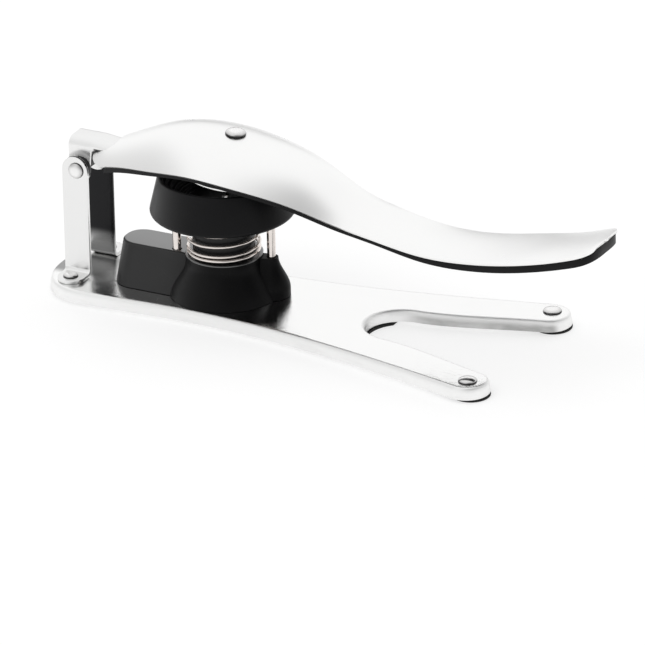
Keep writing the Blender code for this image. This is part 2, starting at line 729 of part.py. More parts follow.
def lever_half_width(distance, inset=0.0):
    """Half width of the lever's outline, with an elliptical tip."""
    start = LENGTH - TIP_ROUND
    width = between(LEVER_STATIONS, distance, 1) - inset
    if distance > start:
        share = min(1.0, (distance - start) / (TIP_ROUND - inset))
        width *= (1 - share ** TIP_SQUARENESS) ** (1 / TIP_SQUARENESS)
    return width


def lever_edge(distance):
    return PIVOT_HEIGHT + between(LEVER_STATIONS, distance, 2)


def lever_crown(distance):
    return PIVOT_HEIGHT + between(LEVER_STATIONS, distance, 3)


def lever_height(distance, side):
    """Height of the lever's outer face at a share of its half width."""
    edge = lever_edge(distance)
    return edge + (lever_crown(distance) - edge) * (1 - abs(side) ** CROWN_POWER)


def lever_places(start, inset):
    """Ring places along the lever, closer together round the tip."""
    body_end = LENGTH - TIP_ROUND
    body_rings = LEVER_RINGS - 8
    places = [start + (body_end - start) * index / body_rings for index in range(body_rings)]
    reach = TIP_ROUND - inset
    places += [body_end + reach * math.sin(math.radians(angle)) for angle in (0, 18, 34, 48, 60, 70, 78, 84)]
    return places


def across_shares():
    return [math.sin(math.pi / 2 * (2 * index / LEVER_COLUMNS - 1)) for index in range(LEVER_COLUMNS + 1)]


def lever_shell():
    rows = []
    for distance in lever_places(LEVER_STATIONS[0][0], 0.0):
        half = lever_half_width(distance)
        rows.append([(along(distance), half * share, above(lever_height(distance, share)))
                     for share in across_shares()])
    shell = sheet("lever_shell", rows, LEVER_SHEET, -1.0, BRUSHED)
    notch = SADDLE_HALF_WIDTH + NOTCH_CLEARANCE
    cut(shell, box("shell_notch", (along(SADDLE_REAR), -notch, above(PIVOT_HEIGHT)),
                   (along(NOTCH_END), notch, above(2 * PIVOT_HEIGHT))))
    return shell


def liner_height(distance, across, half, depth):
    """Height this far below the shell's outer face, measured square to it."""
    step = GAP
    share = min(1.0, across / half)
    low_share = max(0.0, (across - step) / half)
    slope_across = (lever_height(distance, low_share) - lever_height(distance, share)) / step
    slope_along = (lever_height(distance + step, share) - lever_height(distance - step, share)) / (2 * step)
    return lever_height(distance, share) - depth * math.sqrt(1 + slope_across ** 2 + slope_along ** 2)


def liner_solid(name, start, inset, depth, drop, material=None):
    """The room under the shell as a closed solid: inset from its edge and this far below its outer face."""
    rings = []
    for distance in lever_places(start, inset):
        shell_half = lever_half_width(distance)
        half = min(lever_half_width(distance, inset), shell_half - inset)
        lip = lever_edge(distance) - between(LINER_LIPS, distance, 1) - drop
        ring = []
        for share in across_shares():
            across = half * abs(share)
            height = max(liner_height(distance, across, shell_half, depth), lip + GAP)
            ring.append((along(distance), half * share, above(height)))
        rings.append([(along(distance), -half, above(lip))] + ring + [(along(distance), half, above(lip))])
    return loft(name, rings, material)


def lever_liner():
    under = LEVER_SHEET + GAP
    liner = liner_solid("lever_liner", LINER_REAR, LINER_INSET, under, 0.0, BLACK)
    cut(liner, liner_solid("liner_room", LINER_REAR - LINER_WALL, LINER_INSET + LINER_WALL, under + LINER_WALL,
                           LINER_WALL))
    notch = SADDLE_HALF_WIDTH + NOTCH_CLEARANCE
    cut(liner, box("tongue_notch", (along(SADDLE_REAR), -notch, above(PIVOT_HEIGHT)),
                   (along(TONGUE_END) + NOTCH_CLEARANCE, notch, above(2 * PIVOT_HEIGHT))))
    return liner


def head_axis_sizes():
    """Centre of the press plate's rim plane and the length of the rivet's axis up to the crown."""
    tilt = math.radians(HEAD_TILT)
    crown = lever_height(HEAD_RIVET, 0.0)
    rim = CUP_TOP + GAP + PRESS_RADIUS * math.sin(tilt)
    length = (crown - rim) / math.cos(tilt)
    centre = HEAD_RIVET - (crown - rim) * math.tan(tilt)
    return centre, rim, length


def press_head(lever_pivot, shell, liner):
    """Boss and dished disc on the lever rivet, square to its tilted axis."""
    centre, rim, length = head_axis_sizes()
    frame = pivot_empty("press_frame", (along(centre), 0.0, above(rim)), HEAD_TILT)
    bpy.context.view_layer.update()
    bore = HEAD_SHANK + GAP
    slope = PRESS_RADIUS - PRESS_RIM
    flat = HEAD_RIVET_RADIUS + 2 * SHEET
    plate = turned("press_plate", [
        (bore, PRESS_DISH + PRESS_SHEET), (flat, PRESS_DISH + PRESS_SHEET), (slope, PRESS_SHEET),
        (PRESS_RADIUS, PRESS_SHEET), (PRESS_RADIUS, 0.0), (slope, 0.0), (flat, PRESS_DISH),
        (bore, PRESS_DISH)], POLISHED)
    liner_under = length - LEVER_SHEET - LINER_WALL - 3 * GAP
    base = PRESS_SHEET + GAP
    boss = turned("press_head", [
        (bore, liner_under), (BOSS_TOP_RADIUS, liner_under), (BOSS_SHOULDER, liner_under - BOSS_SHOULDER_DROP),
        (BOSS_RADIUS, base + PRESS_DISH), (BOSS_RADIUS, base), (slope, base), (flat, base + PRESS_DISH),
        (bore, base + PRESS_DISH)], BLACK)
    grip = length + GAP - PRESS_DISH + GAP
    pin = rivet("lever_rivet", (0.0, 0.0), length + GAP, grip, HEAD_RIVET_RADIUS, 1.5 * DOME_HEIGHT, POLISHED,
                HEAD_SHANK, HEAD_RIVET_RADIUS, 1.2 * RIVET_TAIL_HEIGHT)
    hole = rod("head_hole", bore, 0.0, 2 * length)
    for item in (plate, boss, pin, hole):
        place_on(item, frame)
    for item in (shell, liner):
        cut(item, hole)
    hang(frame, lever_pivot)


def lever(lever_pivot):
    shell = lever_shell()
    liner = lever_liner()
    press_head(lever_pivot, shell, liner)
    for item in (shell, liner):
        hang(item, lever_pivot)


def cup_profile():
    """Floor, gripping steps, rim, tapered outside and spring recess."""
    inner = CUP_TOP_RADIUS - CUP_WALL
    step_rise = (CUP_DEPTH - CUP_BRIM) / CUP_STEPS
    first = CUP_TOP - (CUP_DEPTH - CUP_STEPS * step_rise)
    steps = []
    for index in range(CUP_STEPS):
        radius = inner - index * CUP_STEP_WIDTH
        height = first - index * step_rise
        steps += [(radius, height), (radius - CUP_STEP_WIDTH * 0.72, height)]
    profile = [(0.0, CUP_FLOOR_TOP)] + [(steps[-1][0], CUP_FLOOR_TOP)] + list(reversed(steps))
    lip = CUP_WALL / 4
    profile += [(inner, CUP_TOP - lip), (inner + lip, CUP_TOP), (CUP_TOP_RADIUS - lip, CUP_TOP),
                (CUP_TOP_RADIUS, CUP_TOP - lip)]
    edge = arc((CUP_BOTTOM_RADIUS - CUP_EDGE, CUP_BOTTOM + CUP_EDGE), (CUP_EDGE, CUP_EDGE), 0, -90, 4)
    profile += edge
    profile += [(RECESS_RADIUS, CUP_BOTTOM), (RECESS_RADIUS, CUP_CEILING), (0.0, CUP_CEILING)]
    return [(radius, above(height)) for radius, height in profile]


def guide_places():
    angle = math.radians(GUIDE_TURN)
    reach = (GUIDE_SPREAD * math.cos(angle), GUIDE_SPREAD * math.sin(angle))
    centre = along(AXIS)
    return [("rear_guide_pin", (centre - reach[0], -reach[1])), ("front_guide_pin", (centre + reach[0], reach[1]))]


def cup(slide):
    body = turned("cup", cup_profile(), BLACK)
    body.location.x = along(AXIS)
    slot = BLADE_SHEET / 2 + SLOT_CLEARANCE
    reach = BLADE_HALF_LENGTH + SLOT_CLEARANCE
    for name, turn in (("long_slot", GUIDE_TURN), ("cross_slot", GUIDE_TURN + 90)):
        cut(body, box(name, (-reach, -slot, above(CUP_BOTTOM)), (reach, slot, above(CUP_TOP)), turn,
                      (along(AXIS), 0.0)))
    pin_top = CUP_BOTTOM + GUIDE_IN_CUP
    head_top = LUG_HEIGHT - LEDGE - GAP
    pins = []
    for name, place in guide_places():
        cut(body, rod(name + "_socket", GUIDE_RADIUS + GAP, above(CUP_BOTTOM - CUP_EDGE), above(pin_top + GAP), place))
        pin = turned(name, [(0.0, above(pin_top)), (GUIDE_RADIUS, above(pin_top)), (GUIDE_RADIUS, above(head_top)),
                            (GUIDE_HEAD_RADIUS, above(head_top)), (GUIDE_HEAD_RADIUS, above(head_top - GUIDE_HEAD)),
                            (0.0, above(head_top - GUIDE_HEAD))], POLISHED, SMALL_STEPS)
        pin.location = (place[0], place[1], 0.0)
        pins.append(pin)
    for item in [body] + pins:
        hang(item, slide)


def lug_rings(reach):
    """Level sections of a pin lug: a round end about the pin and sides that spread back to the cone."""
    rings = []
    levels = 6
    start = SOCKET_RADIUS / 3
    for index in range(levels + 1):
        share = index / levels
        radius = LUG_TOP_RADIUS + (LUG_FOOT_RADIUS - LUG_TOP_RADIUS) * ease(share / LUG_FLARE)
        root = radius + (CONE_STATIONS[-1][1] - LUG_FOOT_RADIUS) * share ** 2
        height = HOUSING_BASE + (above(LUG_HEIGHT) - HOUSING_BASE) * (1 - share)
        end = arc((reach, 0.0), (radius, radius), 90, -90, 8)
        rings.append([(start, root, height)] + [(x, y, height) for x, y in end] + [(start, -root, height)])
    return rings


def block_rings():
    """Level sections of the rear block: a rounded rear end, sloping sides and a small shoulder."""
    top = above(BLOCK_HEIGHT)
    centre = along(BLOCK_REAR + BLOCK_ROUND)
    front = along(AXIS)
    rings = []
    slack = BLOCK_SHOULDER
    for height, share, trim in ((HOUSING_BASE, 0.0, 0.0), (top - slack, 1.0, 0.0), (top - slack * 0.3, 1.0, slack * 0.3),
                                (top, 1.0, slack)):
        depth = BLOCK_ROUND + (BLOCK_TOP_ROUND - BLOCK_ROUND) * share - trim
        width = BLOCK_HALF_WIDTH + (BLOCK_TOP_HALF_WIDTH - BLOCK_HALF_WIDTH) * share - trim
        rear = arc((centre, 0.0), (depth, width), 90, 270, 12, 2.4)
        rings.append([(front, width, height)] + [(x, y, height) for x, y in rear] + [(front, -width, height)])
    return rings


def lower_housing():
    seat = above(SEAT_HEIGHT)
    depth = seat - HOUSING_BASE
    levels = 7
    cone = [(0.0, seat)]
    for index in range(levels + 1):
        cone.append((between(CONE_STATIONS, CONE_STATIONS[-1][0] * index / levels, 1), seat - depth * index / levels))
    cone.append((0.0, HOUSING_BASE))
    housing = turned("lower_housing", cone, BLACK)
    housing.location.x = along(AXIS)
    for name, turn in (("front_lug", GUIDE_TURN), ("rear_lug", GUIDE_TURN + 180)):
        lug = loft(name, lug_rings(GUIDE_SPREAD))
        lug.rotation_euler.z = math.radians(turn)
        lug.location.x = along(AXIS)
        join(housing, lug)
    join(housing, loft("rear_block", block_rings()))
    cut(housing, rod("holder_socket", SOCKET_RADIUS, above(SOCKET_FLOOR), above(2 * SEAT_HEIGHT),
                     (along(AXIS), 0.0), SOCKET_STEPS))
    for name, place in guide_places():
        cut(housing, rod(name + "_guide", GUIDE_RADIUS + GAP, 0.0, above(2 * LUG_HEIGHT), place))
        cut(housing, rod(name + "_travel", GUIDE_HEAD_RADIUS + GAP, 0.0, above(LUG_HEIGHT - LEDGE), place))
    for name, place, start, end in screw_places():
        cut(housing, rod(name + "_bore", SCREW_RADIUS + GAP, 0.0, end + GAP, place))
    return housing


def blade_holder():
    radius = SOCKET_RADIUS - GAP
    seat = SEAT_HEIGHT + GAP
    top_edge = HOLDER_RADIUS - SHEET / 2
    holder = turned("blade_holder", [
        (0.0, above(HOLDER_TOP)), (top_edge, above(HOLDER_TOP)), (HOLDER_RADIUS, above(HOLDER_TOP) - SHEET / 2),
        (HOLDER_RADIUS, above(seat)), (radius, above(seat)), (radius, above(SOCKET_FLOOR + GAP)),
        (0.0, above(SOCKET_FLOOR + GAP))], BLACK)
    holder.location.x = along(AXIS)
    slot = BLADE_SHEET / 2 + GAP
    reach = BLADE_HALF_LENGTH + GAP
    for name, turn in (("long_seat", GUIDE_TURN), ("cross_seat", GUIDE_TURN + 90)):
        cut(holder, box(name, (-reach, -slot, above(HOLDER_TOP - BLADE_SEAT)), (reach, slot, above(CUP_TOP)), turn,
                        (along(AXIS), 0.0)))
    for name, place, start, end in screw_places()[1:]:
        cut(holder, rod(name + "_thread", SCREW_RADIUS + GAP, 0.0, end + GAP, place))
    return holder


def blade(name, turn, notch_from_top):
    """Half of the cutting cross: a ground edge that peaks at the middle, and a half-lap notch."""
    low = above(HOLDER_TOP - BLADE_SEAT) + GAP
    peak = above(CUP_FLOOR_TOP - BLADE_BELOW_FLOOR)
    half = BLADE_SHEET / 2
    tip = half * 0.2
    rings = []
    for along_blade in (-1.0, -0.5, 0.0, 0.5, 1.0):
        edge = peak - BLADE_RISE * along_blade ** 2
        x = BLADE_HALF_LENGTH * along_blade
        rings.append([(x, -half, low), (x, -half, edge - BLADE_EDGE), (x, -tip, edge), (x, tip, edge),
                      (x, half, edge - BLADE_EDGE), (x, half, low)])
    item = loft(name, rings, POLISHED)
    item.rotation_euler.z = math.radians(turn)
    item.location.x = along(AXIS)
    lap = (low + peak) / 2
    ends = (lap - GAP / 2, 2 * peak) if notch_from_top else (0.0, lap + GAP / 2)
    notch = half + GAP
    cut(item, box(name + "_notch", (-notch, -BLADE_SHEET * 2, ends[0]), (notch, BLADE_SHEET * 2, ends[1]), turn,
                  (along(AXIS), 0.0)))
    return item


def spring_path():
    """Closed end turns and open turns between, on one cylinder, from the seat to the cup."""
    low = above(SEAT_HEIGHT) + GAP + WIRE_RADIUS
    high = above(CUP_CEILING) - GAP - WIRE_RADIUS
    pitch = (high - low - (SEAT_TURNS + CUP_TURNS) * CLOSED_PITCH) / SPRING_TURNS
    turns = SEAT_TURNS + SPRING_TURNS + CUP_TURNS
    count = round(turns * TURN_POINTS)
    points = []
    for index in range(count + 1):
        turn = turns * index / count
        opened = min(max(turn - SEAT_TURNS, 0.0), SPRING_TURNS)
        rise = CLOSED_PITCH * (turn - opened) + pitch * opened
        angle = math.radians(SPRING_START) + 2 * math.pi * turn
        points.append(Vector((SPRING_RADIUS * math.cos(angle), SPRING_RADIUS * math.sin(angle), low + rise)))
    return points


def least_gap(points, radius):
    """Smallest clear distance between turns of a wound wire."""
    least = 1.0
    apart = TURN_POINTS // 2
    for index, point in enumerate(points):
        for other in range(index + apart, len(points) - 1):
            start, end = points[other], points[other + 1]
            way = end - start
            share = min(1.0, max(0.0, (point - start).dot(way) / way.length_squared))
            least = min(least, (point - start - way * share).length - 2 * radius)
    return least


def return_spring():
    points = spring_path()
    print("return_spring least gap mm", round(least_gap(points, WIRE_RADIUS) * 1000, 3))
    curve = bpy.data.curves.new("return_spring", "CURVE")
    curve.dimensions = "3D"
    curve.bevel_depth = WIRE_RADIUS
    curve.bevel_resolution = 1
    curve.use_fill_caps = True
    spline = curve.splines.new("POLY")
    spline.points.add(len(points) - 1)
    for target, point in zip(spline.points, points):
        target.co = (*point, 1.0)
    curve.materials.append(POLISHED)
    item = bpy.data.objects.new("return_spring", curve)
    PARTS.objects.link(item)
    item.location.x = along(AXIS)


def main():
    lever_pivot = pivot_empty("lever_pivot", (along(PIVOT), 0.0, above(PIVOT_HEIGHT)))
    slide = pivot_empty("cup_slide_axis", (along(AXIS), 0.0, above(CUP_BOTTOM)))
    base_plate()
    feet()
    posts()
    base_rivets()
    hinge(lever_pivot)
    lever(lever_pivot)
    cup(slide)
    lower_housing()
    blade_holder()
    blade("long_blade", GUIDE_TURN, True)
    blade("cross_blade", GUIDE_TURN + 90, False)
    return_spring()
    screws()


main()
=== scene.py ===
"""The chestnut cutter's finish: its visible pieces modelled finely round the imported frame.

Metres, +Z up, +X from the hinge to the lever's tip, +Y to the far side. Each sub-assembly is a
class that keeps its sizes, builds its pieces and dresses them.
"""
from __future__ import annotations

import json
import logging
import math
from collections.abc import Sequence
from dataclasses import dataclass
from enum import Enum

import bmesh
import bpy
from mathutils import Matrix, Vector

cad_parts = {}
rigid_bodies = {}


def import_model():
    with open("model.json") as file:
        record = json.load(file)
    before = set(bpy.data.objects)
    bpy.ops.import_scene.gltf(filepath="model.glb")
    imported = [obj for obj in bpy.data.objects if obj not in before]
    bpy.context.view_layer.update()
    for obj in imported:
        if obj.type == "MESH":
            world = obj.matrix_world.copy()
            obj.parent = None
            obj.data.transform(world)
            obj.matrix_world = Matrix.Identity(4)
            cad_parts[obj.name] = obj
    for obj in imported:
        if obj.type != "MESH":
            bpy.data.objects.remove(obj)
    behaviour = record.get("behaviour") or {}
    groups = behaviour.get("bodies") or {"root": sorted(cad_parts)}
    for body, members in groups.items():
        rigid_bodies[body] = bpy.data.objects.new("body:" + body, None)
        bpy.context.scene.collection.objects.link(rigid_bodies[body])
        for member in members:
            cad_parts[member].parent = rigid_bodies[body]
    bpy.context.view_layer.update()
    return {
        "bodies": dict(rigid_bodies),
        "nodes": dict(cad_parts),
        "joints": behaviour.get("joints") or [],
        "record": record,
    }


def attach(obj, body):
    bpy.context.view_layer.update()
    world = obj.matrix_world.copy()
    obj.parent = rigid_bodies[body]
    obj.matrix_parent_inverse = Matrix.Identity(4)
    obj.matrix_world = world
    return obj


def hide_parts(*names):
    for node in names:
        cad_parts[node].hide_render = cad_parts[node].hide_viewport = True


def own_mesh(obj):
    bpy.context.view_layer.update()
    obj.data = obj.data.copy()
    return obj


LOG = logging.getLogger("chestnut_cutter")

Point = tuple[float, float, float]
Flat = tuple[float, float]

LENGTH = 0.2320
PLATE_TOP = 0.0060
GAP = 0.0003
# Point attribute that carries the painted shade on rivet and pin heads.
PAINTED_HEAD_SHADE = "painted_head_shade"
SIDES = ((-1, "near"), (1, "far"))

# Shared places: distances from the base's rear end, heights from the plate's top face.
PIVOT = 0.0136
PIVOT_HEIGHT = 0.0429
SADDLE_HALF_WIDTH = 0.0062
AXIS = 0.0708
CUP_TOP = 0.0483
GUIDE_TURN = 14.6
GUIDE_SPREAD = 0.0183


def along(distance: float) -> float:
    """World X of a place this far from the rear end of the base."""
    return distance - LENGTH / 2


def above(height: float) -> float:
    """World Z of a place this high above the plate's top face."""
    return PLATE_TOP + height


def sine(degrees: float) -> float:
    """Sine of an angle in degrees."""
    return math.sin(math.radians(degrees))


def cosine(degrees: float) -> float:
    """Cosine of an angle in degrees."""
    return math.cos(math.radians(degrees))


def on_axis(turn: float = 0.0) -> Matrix:
    """The cup's upright axis, turned by degrees from +X."""
    return Matrix.Translation((along(AXIS), 0.0, 0.0)) @ Matrix.Rotation(math.radians(turn), 4, "Z")


def at_guide(way: int) -> Matrix:
    """The place of the rear guide pin, for -1, or of the front one, for 1."""
    reach = way * GUIDE_SPREAD
    return Matrix.Translation((along(AXIS) + reach * cosine(GUIDE_TURN), reach * sine(GUIDE_TURN), 0.0))


def at_pivot(turn: float) -> Matrix:
    """The hinge's pivot, with the upright axis turned by degrees about X."""
    place = Matrix.Translation((along(PIVOT), 0.0, above(PIVOT_HEIGHT)))
    return place @ Matrix.Rotation(math.radians(turn), 4, "X")


class Slot(Enum):
    """The record's material slots."""

    BRUSHED = "brushed_stainless"
    POLISHED = "polished_steel"
    BLACK = "black_plastic"
    RUBBER = "black_rubber"


class Body(Enum):
    """The bodies that pieces ride on."""

    BASE = "base"
    LEVER = "lever"
    CUP = "cup"


class Value:
    """A shader socket that builds Math nodes when it is used in an expression."""

    def __init__(self, graph: Graph, socket: bpy.types.NodeSocket) -> None:
        """Wrap an output socket of a graph.

        Args:
            graph: the material's graph that new nodes go into.
            socket: the output to wrap.
        """
        self.graph = graph
        self.socket = socket

    def _math(self, operation: str, *values: Value | float) -> Value:
        """Add one Math node.

        Args:
            operation: the node's operation.
            values: its inputs in order.

        Returns:
            The node's output.
        """
        inputs = dict(enumerate(values))
        return self.graph.node("ShaderNodeMath", {"operation": operation}, inputs).out()

    def __add__(self, other: Value | float) -> Value:
        """Sum."""
        return self._math("ADD", self, other)

    __radd__ = __add__

    def __sub__(self, other: Value | float) -> Value:
        """Difference."""
        return self._math("SUBTRACT", self, other)

    def __rsub__(self, other: Value | float) -> Value:
        """Difference with the value second."""
        return self._math("SUBTRACT", other, self)

    def __mul__(self, other: Value | float) -> Value:
        """Product."""
        return self._math("MULTIPLY", self, other)

    __rmul__ = __mul__

    def size(self) -> Value:
        """The value without its sign."""
        return self._math("ABSOLUTE", self)

    def between(self, low: float, high: float) -> Value:
        """A smooth step from 0 at low to 1 at high.

        Args:
            low: where the step starts.
            high: where it ends.

        Returns:
            The step's value.
        """
        settings = {"interpolation_type": "SMOOTHSTEP"}
        inputs = {0: self, 1: low, 2: high, 3: 0.0, 4: 1.0}
        return self.graph.node("ShaderNodeMapRange", settings, inputs).out()


class Made:
    """A node that was added, with its outputs wrapped."""

    def __init__(self, graph: Graph, node: bpy.types.Node) -> None:
        """Keep the node and its graph.

        Args:
            graph: the material's graph.
            node: the node.
        """
        self.graph = graph
        self.node = node

    def out(self, name: str | int = 0) -> Value:
        """One output by name or place."""
        return Value(self.graph, self.node.outputs[name])


class Graph:
    """The node graph of one material or of the world."""

    def __init__(self, owner: bpy.types.Material | bpy.types.World) -> None:
        """Start a graph with only its output node.

        Args:
            owner: the new material or world.
        """
        owner.use_nodes = True
        self.owner = owner
        self.tree = owner.node_tree
        self.tree.nodes.clear()
        kind = "World" if isinstance(owner, bpy.types.World) else "Material"
        self.output = self.tree.nodes.new("ShaderNodeOutput" + kind)

    @classmethod
    def of_material(cls, name: str) -> Graph:
        """A new material's graph."""
        return cls(bpy.data.materials.new(name))

    def node(self, kind: str, settings: dict[str, object], inputs: dict[str | int, object]) -> Made:
        """Add a node, its settings first and then its sockets.

        Args:
            kind: the node's type.
            settings: attributes of the node, with "stops" for a ramp's places and colours.
            inputs: values or links by socket name or place.

        Returns:
            The node.
        """
        node = self.tree.nodes.new(kind)
        for key, setting in settings.items():
            if key == "stops":
                self._stops(node, setting)
            else:
                setattr(node, key, setting)
        for key, value in inputs.items():
            if isinstance(value, Value):
                self.tree.links.new(value.socket, node.inputs[key])
            else:
                node.inputs[key].default_value = value
        return Made(self, node)

    @staticmethod
    def _stops(node: bpy.types.Node, stops: Sequence[tuple[float, Sequence[float]]]) -> None:
        """Set a colour ramp's stops.

        Args:
            node: the ramp.
            stops: place and colour of each stop.
        """
        ramp = node.color_ramp
        while len(ramp.elements) < len(stops):
            ramp.elements.new(0.5)
        for element, (place, colour) in zip(ramp.elements, stops):
            element.position = place
            element.color = (*colour, 1.0)

    def place(self) -> Value:
        """The Object coordinates."""
        return self.node("ShaderNodeTexCoord", {}, {}).out("Object")

    def stretched(self, scale: Sequence[float]) -> Value:
        """Object coordinates scaled apart along X, Y and Z."""
        inputs = {"Vector": self.place(), "Scale": tuple(scale)}
        return self.node("ShaderNodeMapping", {}, inputs).out()

    def noise(self, where: Value, scale: float, detail: float = 2.0, roughness: float = 0.5) -> Value:
        """Noise from 0 to 1.

        Args:
            where: the coordinates.
            scale: its scale.
            detail: octaves.
            roughness: share of the fine octaves.

        Returns:
            The noise value.
        """
        inputs = {"Vector": where, "Scale": scale, "Detail": detail, "Roughness": roughness}
        return self.node("ShaderNodeTexNoise", {}, inputs).out(0)

    def ramp(self, factor: Value, stops: Sequence[tuple[float, Sequence[float]]]) -> Value:
        """A colour ramp of a factor."""
        return self.node("ShaderNodeValToRGB", {"stops": stops}, {"Fac": factor}).out("Color")

    def bump(self, height: Value, strength: float, distance: float, below: Value | None = None) -> Value:
        """A bump of a height.

        Args:
            height: the height from 0 to 1.
            strength: share of the full effect.
            distance: depth in metres.
            below: a normal to start from.

        Returns:
            The bumped normal.
        """
        inputs: dict[str | int, object] = {"Height": height, "Strength": strength, "Distance": distance}
        if below is not None:
            inputs["Normal"] = below
        return self.node("ShaderNodeBump", {}, inputs).out()

    def mixed(self, share: Value, first: Value, second: Sequence[float]) -> Value:
        """A colour that goes over to a plain second one.

        Args:
            share: how much of the second colour.
            first: the first colour.
            second: the second colour.

        Returns:
            The colour.
        """
        settings = {"data_type": "RGBA"}
        return self.node("ShaderNodeMix", settings, {0: share, 6: first, 7: (*second, 1.0)}).out(2)

    def axes(self) -> tuple[Value, Value, Value]:
        """The Object coordinates as three values."""
        parts = self.node("ShaderNodeSeparateXYZ", {}, {0: self.place()})
        return parts.out(0), parts.out(1), parts.out(2)

    def end(self, shader: Made) -> bpy.types.Material | bpy.types.World:
        """Join a shader to the output and give back the graph's owner."""
        self.tree.links.new(shader.node.outputs[0], self.output.inputs["Surface"])
        return self.owner

    def surface(self, inputs: dict[str | int, object]) -> bpy.types.Material:
        """Finish with one Principled shader.

        Args:
            inputs: its sockets.

        Returns:
            The material.
        """
        return self.end(self.node("ShaderNodeBsdfPrincipled", {}, inputs))


def spread(low: float, high: float, steps: int) -> list[float]:
    """Evenly spaced numbers from low to high.

    Args:
        low: the first number.
        high: the last number.
        steps: how many intervals lie between them.

    Returns:
        One more number than there are steps.
    """
    return [low + (high - low) * index / steps for index in range(steps + 1)]


def ease(share: float) -> float:
    """From 0 to 1 with level ends."""
    share = min(1.0, max(0.0, share))
    return share * share * (3 - 2 * share)


def arc(centre: Flat, radii: Flat, start: float, end: float, steps: int, power: float = 2.0) -> list[Flat]:
    """Points round an ellipse, or a squarer curve for a power above 2.

    Args:
        centre: its centre.
        radii: its half sizes.
        start: first angle in degrees.
        end: last angle in degrees.
        steps: how many chords.
        power: its squareness.

    Returns:
        The points in order.
    """
    points = []
    for degrees in spread(start, end, steps):
        across, up = (math.copysign(abs(way) ** (2 / power), way) for way in (cosine(degrees), sine(degrees)))
        points.append((centre[0] + radii[0] * across, centre[1] + radii[1] * up))
    return points


def oval(centre: Flat, radii: Flat, steps: int) -> list[Flat]:
    """Points all round an ellipse, clockwise from above, with none twice."""
    return arc(centre, radii, 180, -180, steps)[:-1]


def bend(start: Flat, start_slope: float, end: Flat, end_slope: float, steps: int) -> list[Flat]:
    """Points on a smooth curve between two points with given slopes.

    Args:
        start: first point.
        start_slope: slope there.
        end: last point.
        end_slope: slope there.
        steps: how many chords.

    Returns:
        The points in order.
    """
    points = []
    run = end[0] - start[0]
    for t in spread(0.0, 1.0, steps):
        rise = (start[1] * (2 * t ** 3 - 3 * t ** 2 + 1) + end[1] * (3 * t ** 2 - 2 * t ** 3)
                + run * start_slope * (t ** 3 - 2 * t ** 2 + t) + run * end_slope * (t ** 3 - t ** 2))
        points.append((start[0] + run * t, rise))
    return points


def outset(loop: Sequence[Flat], distance: float) -> list[Flat]:
    """A closed outline moved outwards.

    Args:
        loop: points that run clockwise from above.
        distance: how far, or how far inwards when below 0.

    Returns:
        The moved points.
    """
    moved = []
    count = len(loop)
    for index, point in enumerate(loop):
        way = Vector(loop[(index + 1) % count]) - Vector(loop[index - 1])
        way.normalize()
        moved.append((point[0] - way.y * distance, point[1] + way.x * distance))
    return moved


def filleted(corners: Sequence[tuple[float, float, float]], steps: int = 6) -> list[Flat]:
    """A profile with rounded corners.

    Args:
        corners: radius, height and the rounding of each corner.
        steps: chords in each rounding.

    Returns:
        The profile's points.
    """
    points: list[Flat] = []
    for index, (across, up, rounding) in enumerate(corners):
        here = Vector((across, up))
        if rounding <= 0 or index in (0, len(corners) - 1):
            points.append((across, up))
            continue
        back = Vector(corners[index - 1][:2]) - here
        ahead = Vector(corners[index + 1][:2]) - here
        half = back.angle(ahead) / 2
        reach = min(rounding / math.tan(half), 0.49 * back.length, 0.49 * ahead.length)
        radius = reach * math.tan(half)
        centre = here + (back.normalized() + ahead.normalized()).normalized() * (radius / math.sin(half))
        first = here + back.normalized() * reach - centre
        turn = first.angle_signed(here + ahead.normalized() * reach - centre)
        for share in spread(0.0, 1.0, steps):
            spot = centre + Matrix.Rotation(-turn * share, 2) @ first
            points.append((spot.x, spot.y))
    return points


class Curve:
    """A smooth curve through a table's stations, with even curvature from station to station."""

    def __init__(self, rows: Sequence[Sequence[float]], column: int) -> None:
        """Solve the curve's bends.

        Args:
            rows: the stations, each with its place first.
            column: which value of each station the curve follows.
        """
        self.places = [row[0] for row in rows]
        self.values = [row[column] for row in rows]
        count = len(rows)
        runs = [b - a for a, b in zip(self.places, self.places[1:])]
        slopes = [(b - a) / run for a, b, run in zip(self.values, self.values[1:], runs)]
        lower, load = [0.0] * count, [0.0] * count
        for index in range(1, count - 1):
            weight = 2 * (runs[index - 1] + runs[index]) - runs[index - 1] * lower[index - 1]
            lower[index] = runs[index] / weight
            load[index] = (6 * (slopes[index] - slopes[index - 1]) - runs[index - 1] * load[index - 1]) / weight
        self.bends = [0.0] * count
        for index in range(count - 2, 0, -1):
            self.bends[index] = load[index] - lower[index] * self.bends[index + 1]

    def at(self, place: float) -> float:
        """The value at a place, held level outside the table."""
        place = min(max(place, self.places[0]), self.places[-1])
        index = 0
        while index < len(self.places) - 2 and place > self.places[index + 1]:
            index += 1
        run = self.places[index + 1] - self.places[index]
        ahead = (place - self.places[index]) / run
        behind = 1 - ahead
        straight = behind * self.values[index] + ahead * self.values[index + 1]
        bent = (behind ** 3 - behind) * self.bends[index] + (ahead ** 3 - ahead) * self.bends[index + 1]
        return straight + bent * run ** 2 / 6


def clear_selection() -> None:
    """Leave edit mode and deselect everything, because an operator acts on all that is selected."""
    if bpy.context.object is not None and bpy.context.object.mode != "OBJECT":
        bpy.ops.object.mode_set(mode="OBJECT")
    bpy.ops.object.select_all(action="DESELECT")


def take(item: bpy.types.Object) -> None:
    """Select one object alone and make it the active one."""
    clear_selection()
    item.select_set(True)
    bpy.context.view_layer.objects.active = item


def named(name: str) -> bpy.types.Object:
    """Name the object that an operator has just added, and its mesh."""
    item = bpy.context.object
    item.name = item.data.name = name
    return item


